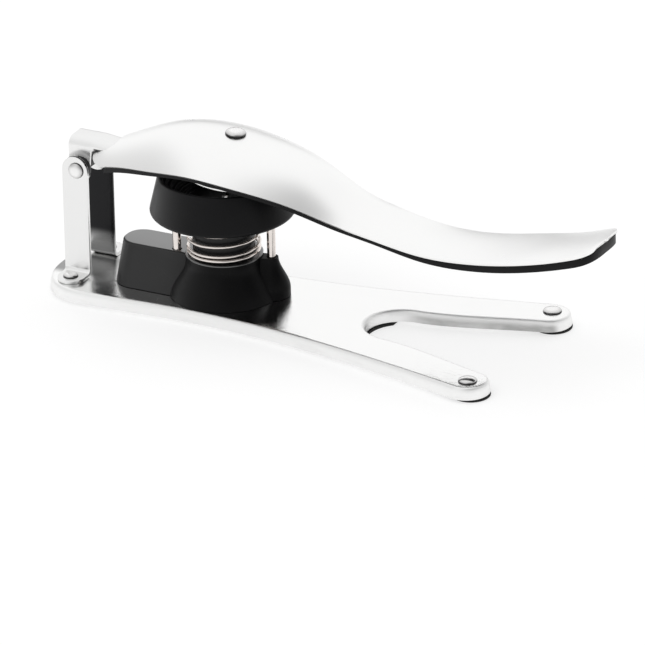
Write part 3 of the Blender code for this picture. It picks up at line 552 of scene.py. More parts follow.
def modify(item: bpy.types.Object, kind: str, settings: dict[str, object]) -> None:
    """Add one modifier and apply it.

    Args:
        item: the piece.
        kind: the modifier's type.
        settings: its attributes.
    """
    take(item)
    step = item.modifiers.new("step", kind)
    for key, setting in settings.items():
        setattr(step, key, setting)
    bpy.ops.object.modifier_apply(modifier=step.name)


def put(item: bpy.types.Object, matrix: Matrix) -> bpy.types.Object:
    """Move an object's mesh, with the object itself left at the origin.

    Args:
        item: the object, at the origin.
        matrix: where it goes.

    Returns:
        The object.
    """
    take(item)
    item.matrix_world = matrix
    bpy.ops.object.transform_apply(location=True, rotation=True, scale=True)
    return item


def tidy(item: bpy.types.Object) -> bpy.types.Object:
    """Merge doubled points, drop loose edges and turn the faces outwards."""
    take(item)
    bpy.ops.object.mode_set(mode="EDIT")
    bpy.ops.mesh.select_all(action="SELECT")
    bpy.ops.mesh.remove_doubles(threshold=0.000001)
    bpy.ops.mesh.delete_loose(use_faces=False)
    bpy.ops.mesh.select_all(action="SELECT")
    bpy.ops.mesh.normals_make_consistent(inside=False)
    bpy.ops.object.mode_set(mode="OBJECT")
    return item


def lofted(name: str, rings: Sequence[Sequence[Point]]) -> bpy.types.Object:
    """A closed solid through rings of points: a filled circle, extruded from ring to ring.

    Args:
        name: the piece's name.
        rings: closed rings with the same number of points.

    Returns:
        The solid, with flat faces over its first and last ring.
    """
    clear_selection()
    bpy.ops.mesh.primitive_circle_add(vertices=len(rings[0]), radius=1.0, fill_type="NGON")
    item = named(name)
    for vertex, spot in zip(item.data.vertices, rings[0]):
        vertex.co = spot
    numbers = item.data.attributes.new("ring_place", "INT", "POINT")
    for index, number in enumerate(numbers.data):
        number.value = index
    bpy.ops.object.mode_set(mode="EDIT")
    bpy.ops.mesh.select_all(action="SELECT")
    for ring in rings[1:]:
        bpy.ops.mesh.extrude_region_move()
        mesh = bmesh.from_edit_mesh(item.data)
        place = mesh.verts.layers.int["ring_place"]
        for vertex in mesh.verts:
            if vertex.select:
                vertex.co = ring[vertex[place]]
    bpy.ops.object.mode_set(mode="OBJECT")
    item.data.attributes.remove(item.data.attributes["ring_place"])
    return tidy(item)


def turned(name: str, profile: Sequence[Flat], steps: int = 96) -> bpy.types.Object:
    """A turned piece: a closed profile spun about the upright axis.

    Args:
        name: the piece's name.
        profile: radius and height of each point.
        steps: segments round the axis.

    Returns:
        The piece, about the world's Z axis.
    """
    clear_selection()
    bpy.ops.mesh.primitive_circle_add(vertices=len(profile), radius=1.0, fill_type="NOTHING")
    item = named(name)
    for vertex, (radius, height) in zip(item.data.vertices, profile):
        vertex.co = (radius, 0.0, height)
    bpy.ops.object.mode_set(mode="EDIT")
    bpy.ops.mesh.select_all(action="SELECT")
    bpy.ops.mesh.spin(steps=steps, angle=2 * math.pi, center=(0.0, 0.0, 0.0), axis=(0.0, 0.0, 1.0))
    bpy.ops.object.mode_set(mode="OBJECT")
    return tidy(item)


def sheet(name: str, rows: Sequence[Sequence[Point]], thickness: float) -> bpy.types.Object:
    """A grid moved to rows of points, thickened below its face.

    Args:
        name: the piece's name.
        rows: rows with the same number of points.
        thickness: the sheet's thickness, or below 0 to grow to the other side.

    Returns:
        The sheet.
    """
    clear_selection()
    across, ahead = len(rows[0]) - 1, len(rows) - 1
    bpy.ops.mesh.primitive_grid_add(x_subdivisions=across, y_subdivisions=ahead, size=1.0)
    item = named(name)
    for vertex, spot in zip(item.data.vertices, (spot for row in rows for spot in row)):
        vertex.co = spot
    side = -1.0 if thickness > 0 else 1.0
    modify(item, "SOLIDIFY", {"thickness": abs(thickness), "offset": side, "use_even_offset": True})
    return item


def block(name: str, low: Point, high: Point) -> bpy.types.Object:
    """A plain block between two corners, to carve with."""
    clear_selection()
    bpy.ops.mesh.primitive_cube_add(size=1.0)
    middle, size = (Vector(low) + Vector(high)) / 2, Vector(high) - Vector(low)
    return put(named(name), Matrix.Translation(middle) @ Matrix.Diagonal((*size, 1.0)))


def drum(name: str, radius: float, low: float, high: float, steps: int) -> bpy.types.Object:
    """A plain cylinder about the upright axis, to carve with."""
    return turned(name, [(0.0, high), (radius, high), (radius, low), (0.0, low)], steps)


def carve(item: bpy.types.Object, other: bpy.types.Object, operation: str = "DIFFERENCE") -> None:
    """Cut with another object, or join it, and remove it.

    Args:
        item: the piece that is changed.
        other: the object that changes it.
        operation: DIFFERENCE, UNION or INTERSECT.
    """
    modify(item, "BOOLEAN", {"operation": operation, "solver": "EXACT", "object": other})
    bpy.data.objects.remove(other, do_unlink=True)


def rounded(item: bpy.types.Object, width: float, segments: int = 3, angle: float = 35.0) -> None:
    """Round the sharp edges of a piece.

    Args:
        item: the piece.
        width: size of the rounding in metres.
        segments: its faces across.
        angle: edges sharper than this are rounded, in degrees.
    """
    limit = {"limit_method": "ANGLE", "angle_limit": math.radians(angle)}
    modify(item, "BEVEL", {"width": width, "segments": segments, **limit})


def mark_painted_head_shade(item: bpy.types.Object, radius: float) -> bpy.types.Object:
    """Mark how far a head turns down to its edge, where the finish paints shade: darker over the head's outer half
    and a painted shadow line round its edge.

    Args:
        item: a turned piece, still about the upright axis.
        radius: the head's radius.

    Returns:
        The piece.
    """
    marks = item.data.attributes.new(PAINTED_HEAD_SHADE, "FLOAT", "POINT")
    for vertex, mark in zip(item.data.vertices, marks.data):
        share = vertex.co.xy.length / radius
        # Painted shade: a soft darkening over the outer half of the head and a painted shadow line at its edge.
        mark.value = 0.3 * ease((share - 0.45) / 0.5) + 0.7 * ease((share - 0.955) / 0.04)
    return item


@dataclass(frozen=True)
class Standing:
    """What a finished piece rides on and stands for."""

    body: Body
    slot: Slot
    nodes: tuple[str, ...]


def finish(item: bpy.types.Object, standing: Standing, finish_material: bpy.types.Material,
           smooth_angle: float = 32.0) -> None:
    """Smooth a piece, give it its finish and hand it to its body.

    Args:
        item: the finished mesh, at the origin.
        standing: its body, material slot and CAD nodes.
        finish_material: its material.
        smooth_angle: edges sharper than this stay sharp, in degrees.
    """
    take(item)
    bpy.ops.object.shade_smooth_by_angle(angle=math.radians(smooth_angle))
    item.data.materials.clear()
    item.data.materials.append(finish_material)
    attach(item, standing.body.value)
    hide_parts(*standing.nodes)
    LOG.info("%s: %d faces", item.name, len(item.data.polygons))


@dataclass(frozen=True)
class BrushedSteel:
    """Stainless steel brushed along X: fine lines, with a soft variation of its gloss."""

    name: str
    colour: Point = (0.97, 0.97, 0.965)
    roughness: float = 0.24
    line_depth: float = 0.0000040
    lines_per_metre: float = 7000.0
    stretch: Point = (0.02, 1.0, 1.0)

    def tint(self, graph: Graph, plain: Value) -> Value:
        """The colour, which a kind of steel may vary."""
        return plain

    def gloss(self, graph: Graph, plain: Value) -> Value:
        """The roughness, which a kind of steel may vary."""
        return plain

    def metal(self, graph: Graph) -> Value | float:
        """How metallic it is, which a kind of steel may vary."""
        return 1.0

    def material(self) -> bpy.types.Material:
        """Build the material.

        Returns:
            The material.
        """
        graph = Graph.of_material(self.name)
        lines = graph.noise(graph.stretched(self.stretch), self.lines_per_metre, 3.0, 0.6)
        cloud = graph.noise(graph.place(), 60.0, 3.0, 0.5)
        low = tuple(0.97 * part for part in self.colour)
        plain = graph.ramp(lines * 0.6 + cloud * 0.4, ((0.3, low), (0.7, self.colour)))
        return graph.surface({
            "Base Color": self.tint(graph, plain),
            "Metallic": self.metal(graph),
            "Roughness": self.gloss(graph, cloud * 0.08 + (self.roughness - 0.04)),
            "Normal": graph.bump(lines, 1.0, self.line_depth),
        })


@dataclass(frozen=True)
class PlateSteel(BrushedSteel):
    """The base's steel: finely ground on top, duller and a little streaky round its rim, with painted shade in the
    fork and a painted dark reflection between the posts.
    """

    # Rim patches: partly random streaky tone, partly painted shade on the rim's sides.
    rim: Point = (0.90, 0.90, 0.895)
    # Painted shade on the inner walls of the fork.
    fork: Point = (0.32, 0.32, 0.315)
    # Painted dark reflection of the far post on the plate between the posts.
    painted_dark_between_posts: Point = (0.10, 0.10, 0.10)
    rim_heights: Flat = (PLATE_TOP - 0.0030, PLATE_TOP - 0.0008)
    streak_scale: float = 300.0
    streak_stretch: Point = (0.3, 0.3, 1.0)
    streak_window: Flat = (0.42, 0.75)
    # Where the fork's painted shade lies.
    fork_ahead: Flat = (along(0.137), along(0.150))
    fork_across: Flat = (0.0265, 0.0290)
    # Where the painted reflection between the posts lies, and how deep it is.
    posts_ahead: Flat = (along(0.0200), along(0.0290))
    posts_across: Flat = (0.0070, 0.0125)
    posts_depth: float = 0.75
    bend_top: Flat = (PLATE_TOP - 0.00010, PLATE_TOP - 0.000005)
    bend_foot: Flat = (PLATE_TOP - 0.0020, PLATE_TOP - 0.0014)
    rim_haze: float = 0.20
    bend_haze: float = 0.16

    def tint(self, graph: Graph, plain: Value) -> Value:
        """Streaky grey round the rim, partly random tone and partly painted shade; painted shade in the fork and a
        painted dark reflection between the posts.

        Args:
            graph: the material's graph.
            plain: the brushed colour.

        Returns:
            The plate's colour.
        """
        streaks = graph.noise(graph.stretched(self.streak_stretch), self.streak_scale, 4.0, 0.6)
        ahead, across, up = graph.axes()
        below = 1.0 - up.between(*self.rim_heights)
        painted_fork_shade = ahead.between(*self.fork_ahead) * (1.0 - across.size().between(*self.fork_across))
        # Rim: random streaks that also paint shade on its sides.
        rim = graph.mixed(below * streaks.between(*self.streak_window), plain, self.rim)
        # Painted shade on the fork's inner walls.
        rim = graph.mixed(below * painted_fork_shade * (streaks * 0.8 + 0.3), rim, self.fork)
        # Painted dark reflection on the top between the posts.
        shaded = (1.0 - below) * (1.0 - ahead.between(*self.posts_ahead))
        shaded = shaded * (1.0 - across.size().between(*self.posts_across)) * self.posts_depth
        return graph.mixed(shaded, rim, self.painted_dark_between_posts)

    def gloss(self, graph: Graph, plain: Value) -> Value:
        """Duller from the bend down.

        Args:
            graph: the material's graph.
            plain: the brushed roughness.

        Returns:
            The plate's roughness.
        """
        up = graph.axes()[2]
        below = 1.0 - up.between(*self.bend_top)
        return plain + below * self.rim_haze + below * up.between(*self.bend_foot) * self.bend_haze


@dataclass(frozen=True)
class PostSteel(BrushedSteel):
    """Strip steel with painted shade on its inner faces between the posts, lighter towards the foot and left off at
    the top.
    """

    # Painted shade lies across from skin to inner, grows from foot to dusk and stops at top.
    skin: float = 0.0
    inner: float = 0.0100
    foot: float = 0.0110
    dusk: float = 0.0180
    top: float = 0.0465
    start: float = 0.4
    top_blur: float = 0.0010
    # Colour of the painted shade.
    dark: Point = (0.022, 0.022, 0.023)

    def tint(self, graph: Graph, plain: Value) -> Value:
        """Steel outside, painted shade inside.

        Args:
            graph: the material's graph.
            plain: the brushed colour.

        Returns:
            The post's colour.
        """
        _, across, up = graph.axes()
        # Painted shade on the inner side, lighter at the foot, none above the top.
        inside = 1.0 - across.size().between(self.inner - GAP / 3, self.inner + GAP / 3)
        inside = inside * across.size().between(self.skin - GAP / 6, self.skin + GAP / 6)
        lit = 1.0 - up.between(self.top - self.top_blur, self.top + self.top_blur)
        shade = up.between(self.foot, self.dusk) * (1.0 - self.start) + self.start
        return graph.mixed(inside * lit * shade, plain, self.dark)


@dataclass(frozen=True)
class SaddleSteel(BrushedSteel):
    """Steel with painted shade where its sides run into the lever, and partly non-metallic sides round the pivot
    that show painted light.
    """

    # Painted shade lies ahead of front and below level; painted light lies on the sides within reach of the pivot.
    front: float = along(0.0192)
    level: float = above(0.0512)
    side: float = 0.0058
    reach: Flat = (0.0058, 0.0070)
    # Share of metal taken off round the pivot, so the pale base colour shows as painted light.
    satin: float = 0.75
    # Colour of the painted shade under the lever.
    dark: Point = (0.03, 0.03, 0.03)

    def metal(self, graph: Graph) -> Value | float:
        """Partly non-metallic on the sides round the pivot, so the pale base colour shows as painted light where the
        steel would mirror the dark gap beside the post.

        Args:
            graph: the material's graph.

        Returns:
            How metallic the saddle is.
        """
        x, across, z = graph.axes()
        ahead, up = x - along(PIVOT), z - above(PIVOT_HEIGHT)
        near = 1.0 - (ahead * ahead + up * up).between(self.reach[0] ** 2, self.reach[1] ** 2)
        # Painted light: the flank round the pivot turns partly non-metallic.
        return 1.0 - across.size().between(self.side - GAP, self.side + GAP) * near * self.satin

    def tint(self, graph: Graph, plain: Value) -> Value:
        """Steel outside the lever, painted shade inside it.

        Args:
            graph: the material's graph.
            plain: the brushed colour.

        Returns:
            The saddle's colour.
        """
        ahead, _, up = graph.axes()
        below = 1.0 - up.between(self.level - GAP, self.level + GAP)
        # Painted shade on the part that runs in under the lever.
        return graph.mixed(ahead.between(self.front - GAP, self.front + GAP) * below, plain, self.dark)


@dataclass(frozen=True)
class PolishedSteel:
    """Drawn or turned steel: bright, with a little haze, and painted shade on heads: darker towards the edge and a
    painted shadow line where a head meets its seat.
    """

    name: str
    colour: Point = (0.95, 0.945, 0.94)
    roughness: float = 0.19
    # Colour of the painted shade on heads and on a pin's middle.
    line: Point = (0.06, 0.06, 0.06)
    # Half length of a pin's middle that gets painted shade, or 0 for none.
    painted_shade_reach: float = 0.0

    def material(self) -> bpy.types.Material:
        """Build the material.

        Returns:
            The material.
        """
        graph = Graph.of_material(self.name)
        haze = graph.noise(graph.place(), 220.0, 4.0, 0.6)
        fine = graph.noise(graph.place(), 5200.0, 2.0, 0.5)
        low = tuple(0.93 * part for part in self.colour)
        bright = graph.ramp(haze, ((0.35, low), (0.65, self.colour)))
        # Painted shade on heads, read from their marks.
        edge = graph.node("ShaderNodeAttribute", {"attribute_name": PAINTED_HEAD_SHADE}, {}).out("Fac")
        # Painted shade on the pin's shank between the posts.
        if self.painted_shade_reach > 0:
            edge = edge + (1.0 - graph.axes()[1].size().between(self.painted_shade_reach - GAP, self.painted_shade_reach))
        return graph.surface({
            "Base Color": graph.mixed(edge, bright, self.line),
            "Metallic": 1.0,
            "Roughness": haze * 0.10 + (self.roughness - 0.05),
            "Normal": graph.bump(fine, 0.5, 0.0000012),
        })


@dataclass(frozen=True)
class MouldedPlastic:
    """Moulded plastic with a fine spark-eroded grain, glossier on a level top."""

    name: str
    colour: Point = (0.0065, 0.0065, 0.0070)
    roughness: float = 0.40
    grain_depth: float = 0.000010
    sheen: float = 0.35
    top: float = 1.0
    rear_gloss: float = 0.0
    rear_ramp: Flat = (along(0.0480), along(0.0740))
    coat_roughness: float = 0.3
    coat_ior: float = 2.3

    def material(self) -> bpy.types.Material:
        """Build the material.

        Returns:
            The material.
        """
        graph = Graph.of_material(self.name)
        grain = graph.noise(graph.place(), 2600.0, 3.0, 0.55)
        cloud = graph.noise(graph.place(), 90.0, 3.0, 0.5)
        light = tuple(1.6 * part for part in self.colour)
        inputs = {
            "Base Color": graph.ramp(grain * 0.7 + cloud * 0.3, ((0.35, self.colour), (0.7, light))),
            "Roughness": cloud * 0.12 + (self.roughness - 0.06),
            "Specular IOR Level": self.sheen,
            "Normal": graph.bump(grain, 0.6, self.grain_depth),
        }
        if self.rear_gloss > 0:
            ahead, _, up = graph.axes()
            rear = (1.0 - ahead.between(*self.rear_ramp)) * self.rear_gloss
            inputs["Coat Weight"] = up.between(self.top - GAP / 3, self.top - GAP / 10) + rear
            inputs["Coat Roughness"] = self.coat_roughness
            inputs["Coat IOR"] = self.coat_ior
        return graph.surface(inputs)


@dataclass
class Studio:
    """Camera, lamps, world and floor."""

    azimuth: float = 28.33
    elevation: float = 23.99
    roll: float = -1.38
    distance: float = 3.7766
    focal: float = 561.1
    target: Point = (-0.00393, 0.0, 0.00055)
    floor_size: float = 12.0
    dusk: tuple[tuple[Point, float, float], ...] = (
        ((0.612, -0.354, 0.707), 0.70, 0.56),
        ((-0.925, -0.337, 0.174), 0.60, 0.30),
        ((0.474, -0.875, 0.100), 0.55, 0.30),
        ((0.848, 0.520, 0.100), 0.60, 0.35),
        ((-0.470, 0.881, -0.050), 0.955, 0.70),
    )
    lamps: tuple[tuple[str, Point, float, float], ...] = (
        ("key", (-0.7, -1.1, 1.9), 1.2, 4.0),
        ("fill", (1.6, -0.9, 1.2), 1.4, 1.5),
        ("rim", (0.2, 1.7, 1.4), 1.2, 1.5),
    )
    floor_drop: float = 0.00002
    floor_grey: Point = (0.42, 0.42, 0.42)
    floor_seen: float = 0.66
    floor_mirrored: float = 0.64

    def camera(self) -> None:
        """Place the camera at the photograph's viewing angle."""
        side, level = self.azimuth, cosine(self.elevation)
        back = Vector((sine(side) * level, -cosine(side) * level, sine(self.elevation)))
        turn = Matrix.Rotation(math.radians(self.roll), 3, back)
        right = turn @ Vector((cosine(side), sine(side), 0.0))
        data = bpy.data.cameras.new("camera")
        data.lens = self.focal
        data.clip_start = 0.5
        data.clip_end = 40.0
        camera = bpy.data.objects.new("camera", data)
        frame = Matrix((right, back.cross(right), back)).transposed().to_4x4()
        frame.translation = Vector(self.target) + back * self.distance
        camera.matrix_world = frame
        bpy.context.scene.collection.objects.link(camera)
        bpy.context.scene.camera = camera

    def lamp(self, name: str, place: Point, size: float, power: float) -> None:
        """Add one soft lamp that looks at the object, which metal doesn't mirror.

        Args:
            name: the lamp's name.
            place: where it hangs.
            size: its edge in metres.
            power: its power in watts.
        """
        data = bpy.data.lights.new(name, "AREA")
        data.shape = "DISK"
        data.size = size
        data.energy = power
        lamp = bpy.data.objects.new(name, data)
        lamp.location = place
        lamp.rotation_euler = (-Vector(place)).to_track_quat("-Z", "Y").to_euler()
        lamp.visible_glossy = False
        bpy.context.scene.collection.objects.link(lamp)

    def world(self) -> None:
        """A white surround for the camera, with darker sides in what lights the object."""
        world = bpy.data.worlds.new("surround")
        graph = Graph(world)
        way = graph.node("ShaderNodeTexCoord", {}, {}).out("Generated")
        mirrored: Value | float = 1.0
        product = {"operation": "DOT_PRODUCT"}
        for side, edge, depth in self.dusk:
            near = graph.node("ShaderNodeVectorMath", product, {0: way, 1: side}).out("Value")
            mirrored = mirrored - near.between(edge, 1.0) * depth
        rays = graph.node("ShaderNodeLightPath", {}, {})
        plain = (1.0, 1.0, 1.0, 1.0)
        white = graph.node("ShaderNodeBackground", {}, {"Color": plain, "Strength": 1.0})
        room = graph.node("ShaderNodeBackground", {}, {"Color": plain, "Strength": mirrored})
        inputs = {0: rays.out("Is Camera Ray"), 1: room.out(), 2: white.out()}
        bpy.context.scene.world = graph.end(graph.node("ShaderNodeMixShader", {}, inputs))

    def floor(self) -> None:
        """A white floor that keeps the object's shadow."""
        clear_selection()
        bpy.ops.mesh.primitive_plane_add(size=self.floor_size, location=(0.0, 0.0, -self.floor_drop))
        floor = named("floor")
        graph = Graph.of_material("floor")
        diffuse = graph.node("ShaderNodeBsdfDiffuse", {}, {"Color": (*self.floor_grey, 1.0)})
        rays = graph.node("ShaderNodeLightPath", {}, {})
        seen = rays.out("Is Camera Ray") * self.floor_seen + rays.out("Is Glossy Ray") * self.floor_mirrored
        glow = graph.node("ShaderNodeEmission", {}, {"Strength": seen})
        both = graph.node("ShaderNodeAddShader", {}, {0: diffuse.out(), 1: glow.out()})
        floor.data.materials.append(graph.end(both))

    def build(self) -> None:
        """Set up everything that isn't the object."""
        bpy.context.scene.view_settings.view_transform = "Standard"
        self.camera()
        self.world()
        self.floor()
        for lamp in self.lamps:
            self.lamp(*lamp)
        LOG.info("studio ready")


@dataclass
class Palette:
    """The finishes, built once and shared by the pieces."""

    plate: bpy.types.Material
    near_post: bpy.types.Material
    far_post: bpy.types.Material
    lever: bpy.types.Material
    bright: bpy.types.Material
    pin: bpy.types.Material
    wire: bpy.types.Material
    saddle: bpy.types.Material
    moulded: bpy.types.Material
    cup: bpy.types.Material
    housing: bpy.types.Material
    liner: bpy.types.Material
    rubber: bpy.types.Material

    @classmethod
    def mixed(cls) -> Palette:
        """Build every finish once.

        Returns:
            The palette.
        """
        strip, upright = (0.86, 0.86, 0.855), (1.0, 1.0, 0.02)
        return cls(
            # The plate paints shade in the fork and a dark reflection between the posts.
            plate=PlateSteel("plate_finish", roughness=0.12, line_depth=0.0000260).material(),
            # Painted shade on the posts: the near post on the inner part of its edge high up, the far post over its
            # inner face.
            near_post=PostSteel("near_post_finish", strip, stretch=upright, skin=0.0091, foot=above(0.0410),
                                dusk=above(0.0430), top=0.0600, start=0.0).material(),
            far_post=PostSteel("far_post_finish", strip, stretch=upright).material(),
            lever=BrushedSteel("lever_finish", roughness=0.29, line_depth=0.0000100).material(),
            bright=PolishedSteel("turned_finish").material(),
            # Painted shade on the hinge pin's shank between the posts.
            pin=PolishedSteel("pin_finish", roughness=0.34, painted_shade_reach=0.0088).material(),
            # The warm tint stands in for warm reflections on the spring and guide pins: a painted reflection.
            wire=PolishedSteel("wire_finish", (0.86, 0.80, 0.76), 0.14).material(),
            # The saddle paints light round the pivot and shade under the lever.
            saddle=SaddleSteel("saddle_finish", (0.90, 0.90, 0.895), 0.30).material(),
            moulded=MouldedPlastic("moulded_finish").material(),
            cup=MouldedPlastic("cup_finish", sheen=0.13, rear_gloss=0.16).material(),
            housing=MouldedPlastic("housing_finish", (0.0045, 0.0045, 0.0048), sheen=0.10, top=0.0219,
                                   rear_gloss=0.22).material(),
            liner=MouldedPlastic("liner_finish", sheen=0.15).material(),
            rubber=MouldedPlastic("rubber_finish", (0.008, 0.008, 0.008), 0.7).material(),
        )


def dome(radius: float, height: float, seat: float, lip: float = 0.00022) -> list[tuple[float, float, float]]:
    """Corners of a rivet's domed head, from its top down to its seat.

    Args:
        radius: the head's radius.
        height: its height.
        seat: the height it sits at.
        lip: its upright edge.

    Returns:
        Corners with their roundings.
    """
    rise = height - lip
    corners = [(radius * sine(a), seat + lip + rise * cosine(a), 0.0) for a in spread(0.0, 84.0, 9)]
    return corners + [(radius, seat + lip, 0.0002), (radius, seat, 0.0)]


@dataclass(frozen=True)
class Rivet:
    """A rivet about the upright axis: a domed head, a shank and a flat tail."""

    radius: float
    height: float
    seat: float
    shank: float
    tail: float
    low: float
    tail_height: float = 0.0008
    tail_edges: Flat = (0.0, 0.0003)

    def solid(self, name: str, steps: int) -> bpy.types.Object:
        """Turn the rivet.

        Args:
            name: the piece's name.
            steps: segments round the axis.

        Returns:
            The rivet, with painted shade marked on its head.
        """
        end = self.low - self.tail_height
        corners = dome(self.radius, self.height, self.seat)
        corners += [(self.shank, self.seat, 0.0), (self.shank, self.low, 0.0),
                    (self.tail, self.low, self.tail_edges[0]), (self.tail, end, self.tail_edges[1]), (0.0, end, 0.0)]
        return mark_painted_head_shade(turned(name, filleted(corners), steps), self.radius)


@dataclass
class ForkedBase:
    """The pressed plate with its feet and the rivets at the fork's tips."""

    palette: Palette
    sheet: float = 0.0010
    foot_height: float = 0.0013
    flare: float = 0.0006
    bend_radius: float = 0.0013
    rear_depth: float = 0.0209
    rear_half_width: float = 0.0244
    rear_squareness: float = 2.3
    waist: float = 0.0675
    waist_half_width: float = 0.0225
    tip_centre: float = 0.1903
    tip_side: float = 0.0339
    tip_radius: float = 0.0083
    splay: float = 14.0
    crotch: float = 0.1314
    crotch_depth: float = 0.0147
    crotch_half_width: float = 0.0137
    rivet: Flat = (0.1912, 0.0350)
    rivet_radius: float = 0.0036
    rivet_height: float = 0.0011
    tip_foot_radius: float = 0.0073
    tip_foot_shift: float = 0.0018
    crotch_foot: tuple[float, float, float] = (0.1210, 0.1372, 0.0155)
    crotch_foot_show: float = 0.0011
    rear_foot: tuple[float, float, float] = (0.0065, 0.0205, 0.0170)
    foot_corner: float = 0.0030

    def outline(self) -> list[Flat]:
        """The plate's outline, clockwise from above, from the middle of the rear end."""
        slope = math.tan(math.radians(self.splay))
        rear_centre = along(self.rear_depth + self.flare)
        rear_radii = (self.rear_depth, self.rear_half_width)
        rear = arc((rear_centre, 0.0), rear_radii, 180, 90, 48, self.rear_squareness)
        waist = (along(self.waist), self.waist_half_width)
        tip = (along(self.tip_centre), self.tip_side)
        ahead, across = self.tip_radius * sine(self.splay), self.tip_radius * cosine(self.splay)
        outer, inner = (tip[0] - ahead, tip[1] + across), (tip[0] + ahead, tip[1] - across)
        side = bend((rear_centre, self.rear_half_width), 0.0, waist, 0.0, 20)
        leg = bend(waist, 0.0, outer, slope, 40)
        nose = arc(tip, (self.tip_radius, self.tip_radius), 90 + self.splay, self.splay - 90, 40)
        crotch_centre = along(self.crotch + self.crotch_depth)
        inside = bend(inner, slope, (crotch_centre, self.crotch_half_width), 0.10, 30)
        crotch = arc((crotch_centre, 0.0), (self.crotch_depth, self.crotch_half_width), 90, 180, 32)
        half = rear + side[1:] + leg[1:] + nose[1:] + inside[1:] + crotch[1:]
        return half + [(x, -y) for x, y in reversed(half[1:-1])]

    def plate(self) -> None:
        """Flat top, round bend, flared rim and the same again inside."""
        loop = self.outline()
        rings = []

        def ring(inset: float, height: float) -> None:
            rings.append([(x, y, height) for x, y in outset(loop, -inset)])

        outer = self.bend_radius
        ring(2 * outer, PLATE_TOP)
        for turn in spread(0.0, 84.0, 7):
            ring(outer * (1 - sine(turn)), PLATE_TOP - outer * (1 - cosine(turn)))
        lip = self.sheet / 4
        ring(-self.flare + lip / 8, self.foot_height + lip)
        ring(-self.flare + lip / 2, self.foot_height)
        ring(-self.flare + self.sheet - lip / 2, self.foot_height)
        ring(-self.flare + self.sheet, self.foot_height + lip)
        inner = self.bend_radius - self.sheet / 2
        for turn in reversed(spread(0.0, 90.0, 4)):
            ring(self.sheet + inner * (1 - sine(turn)), PLATE_TOP - self.sheet - inner * (1 - cosine(turn)))
        standing = Standing(Body.BASE, Slot.BRUSHED, ("base_plate",))
        finish(lofted("base_plate_skin", rings), standing, self.palette.plate)

    def pad(self, name: str, outline: Sequence[Flat], plug: Sequence[Flat]) -> bpy.types.Object:
        """A foot: a pad with a rounded lower edge below the rim and a plug up to the plate.

        Args:
            name: the piece's name.
            outline: the pad's outline, clockwise from above.
            plug: the plug's outline with as many points.

        Returns:
            The foot, before its finish.
        """
        top = self.foot_height - GAP
        edge = self.sheet / 2
        levels = [(outset(outline, -edge * (1 - cosine(a))), edge * (1 - sine(a))) for a in spread(90.0, 0.0, 3)]
        levels += [(outline, top - GAP / 2), (outset(outline, -GAP / 2), top), (plug, top),
                   (plug, PLATE_TOP - self.sheet - GAP)]
        return lofted(name, [[(x, y, height) for x, y in loop] for loop, height in levels])

    def shod(self, foot: bpy.types.Object, node: str) -> None:
        """Give a foot its finish."""
        finish(foot, Standing(Body.BASE, Slot.RUBBER, (node,)), self.palette.rubber)

    def feet(self) -> None:
        """Pads under the tips, the crotch and the rear end."""
        radius, plug_radius = self.tip_foot_radius, self.tip_foot_radius * 0.75
        for side, word in SIDES:
            centre = (along(self.tip_centre + self.tip_foot_shift), side * self.tip_side)
            middle = (along(self.tip_centre) + self.sheet / 2, side * self.tip_side)
            foot = self.pad(f"{word}_tip_pad", oval(centre, (radius, radius), 48),
                            oval(middle, (plug_radius, plug_radius), 48))
            sink = drum("sink", self.rivet_radius, -self.sheet, self.foot_height - self.sheet / 4, 40)
            carve(foot, put(sink, self.at_tip(side)))
            self.shod(foot, f"{word}_tip_foot")
        half = self.crotch_foot[2]
        foot = self.bar_pad("crotch_pad", self.crotch_foot, self.crotch - 2 * self.sheet, half * 0.64)
        show = self.crotch_foot_show
        bay = oval((along(self.crotch + self.crotch_depth), 0.0),
                   (self.crotch_depth - show, self.crotch_half_width - show / 4), 120)
        carve(foot, lofted("bay", [[(x, y, z) for x, y in bay] for z in (-self.sheet, 2 * PLATE_TOP)]))
        self.shod(foot, "crotch_foot")
        _, end, half = self.rear_foot
        self.shod(self.bar_pad("rear_pad", self.rear_foot, end - self.sheet, half * 0.68), "rear_foot")

    def bar_pad(self, name: str, bar: Point, plug_end: float, plug_half: float) -> bpy.types.Object:
        """A foot that runs across the tool.

        Args:
            name: the piece's name.
            bar: its rear end, front end and half width.
            plug_end: the front end of its plug.
            plug_half: half the plug's width.

        Returns:
            The foot, before its finish.
        """
        corner = self.foot_corner
        plug = self.rounded_rectangle(bar[0] + self.sheet, plug_end, plug_half, corner / 1.5)
        return self.pad(name, self.rounded_rectangle(*bar, corner), plug)

    def at_tip(self, side: int) -> Matrix:
        """The place of the near tip's rivet, for -1, or of the far one, for 1."""
        return Matrix.Translation((along(self.rivet[0]), side * self.rivet[1], 0.0))

    @staticmethod
    def rounded_rectangle(start: float, end: float, half_width: float, corner: float) -> list[Flat]:
        """A rectangle across the tool with round corners, clockwise from above.

        Args:
            start: its rear end.
            end: its front end.
            half_width: half its width.
            corner: its corners' radius.

        Returns:
            Its outline.
        """
        points: list[Flat] = []
        middle, half = (start + end) / 2, (end - start) / 2
        for across, up, turn in ((1, 1, 90), (1, -1, 0), (-1, -1, -90), (-1, 1, -180)):
            centre = (along(middle + across * (half - corner)), up * (half_width - corner))
            points += arc(centre, (corner, corner), turn, turn - 90, 11)
        return points

    def tip_rivets(self) -> None:
        """A domed rivet through each tip."""
        radius = self.rivet_radius
        rivet = Rivet(radius, self.rivet_height + GAP, PLATE_TOP, radius * 0.42, radius * 0.72, self.foot_height)
        for side, word in SIDES:
            piece = put(rivet.solid(f"{word}_tip_rivet_head", 64), self.at_tip(side))
            finish(piece, Standing(Body.BASE, Slot.POLISHED, (f"{word}_tip_rivet",)), self.palette.bright, 50.0)

    def build(self) -> None:
        """Build the base."""
        self.plate()
        self.feet()
        self.tip_rivets()


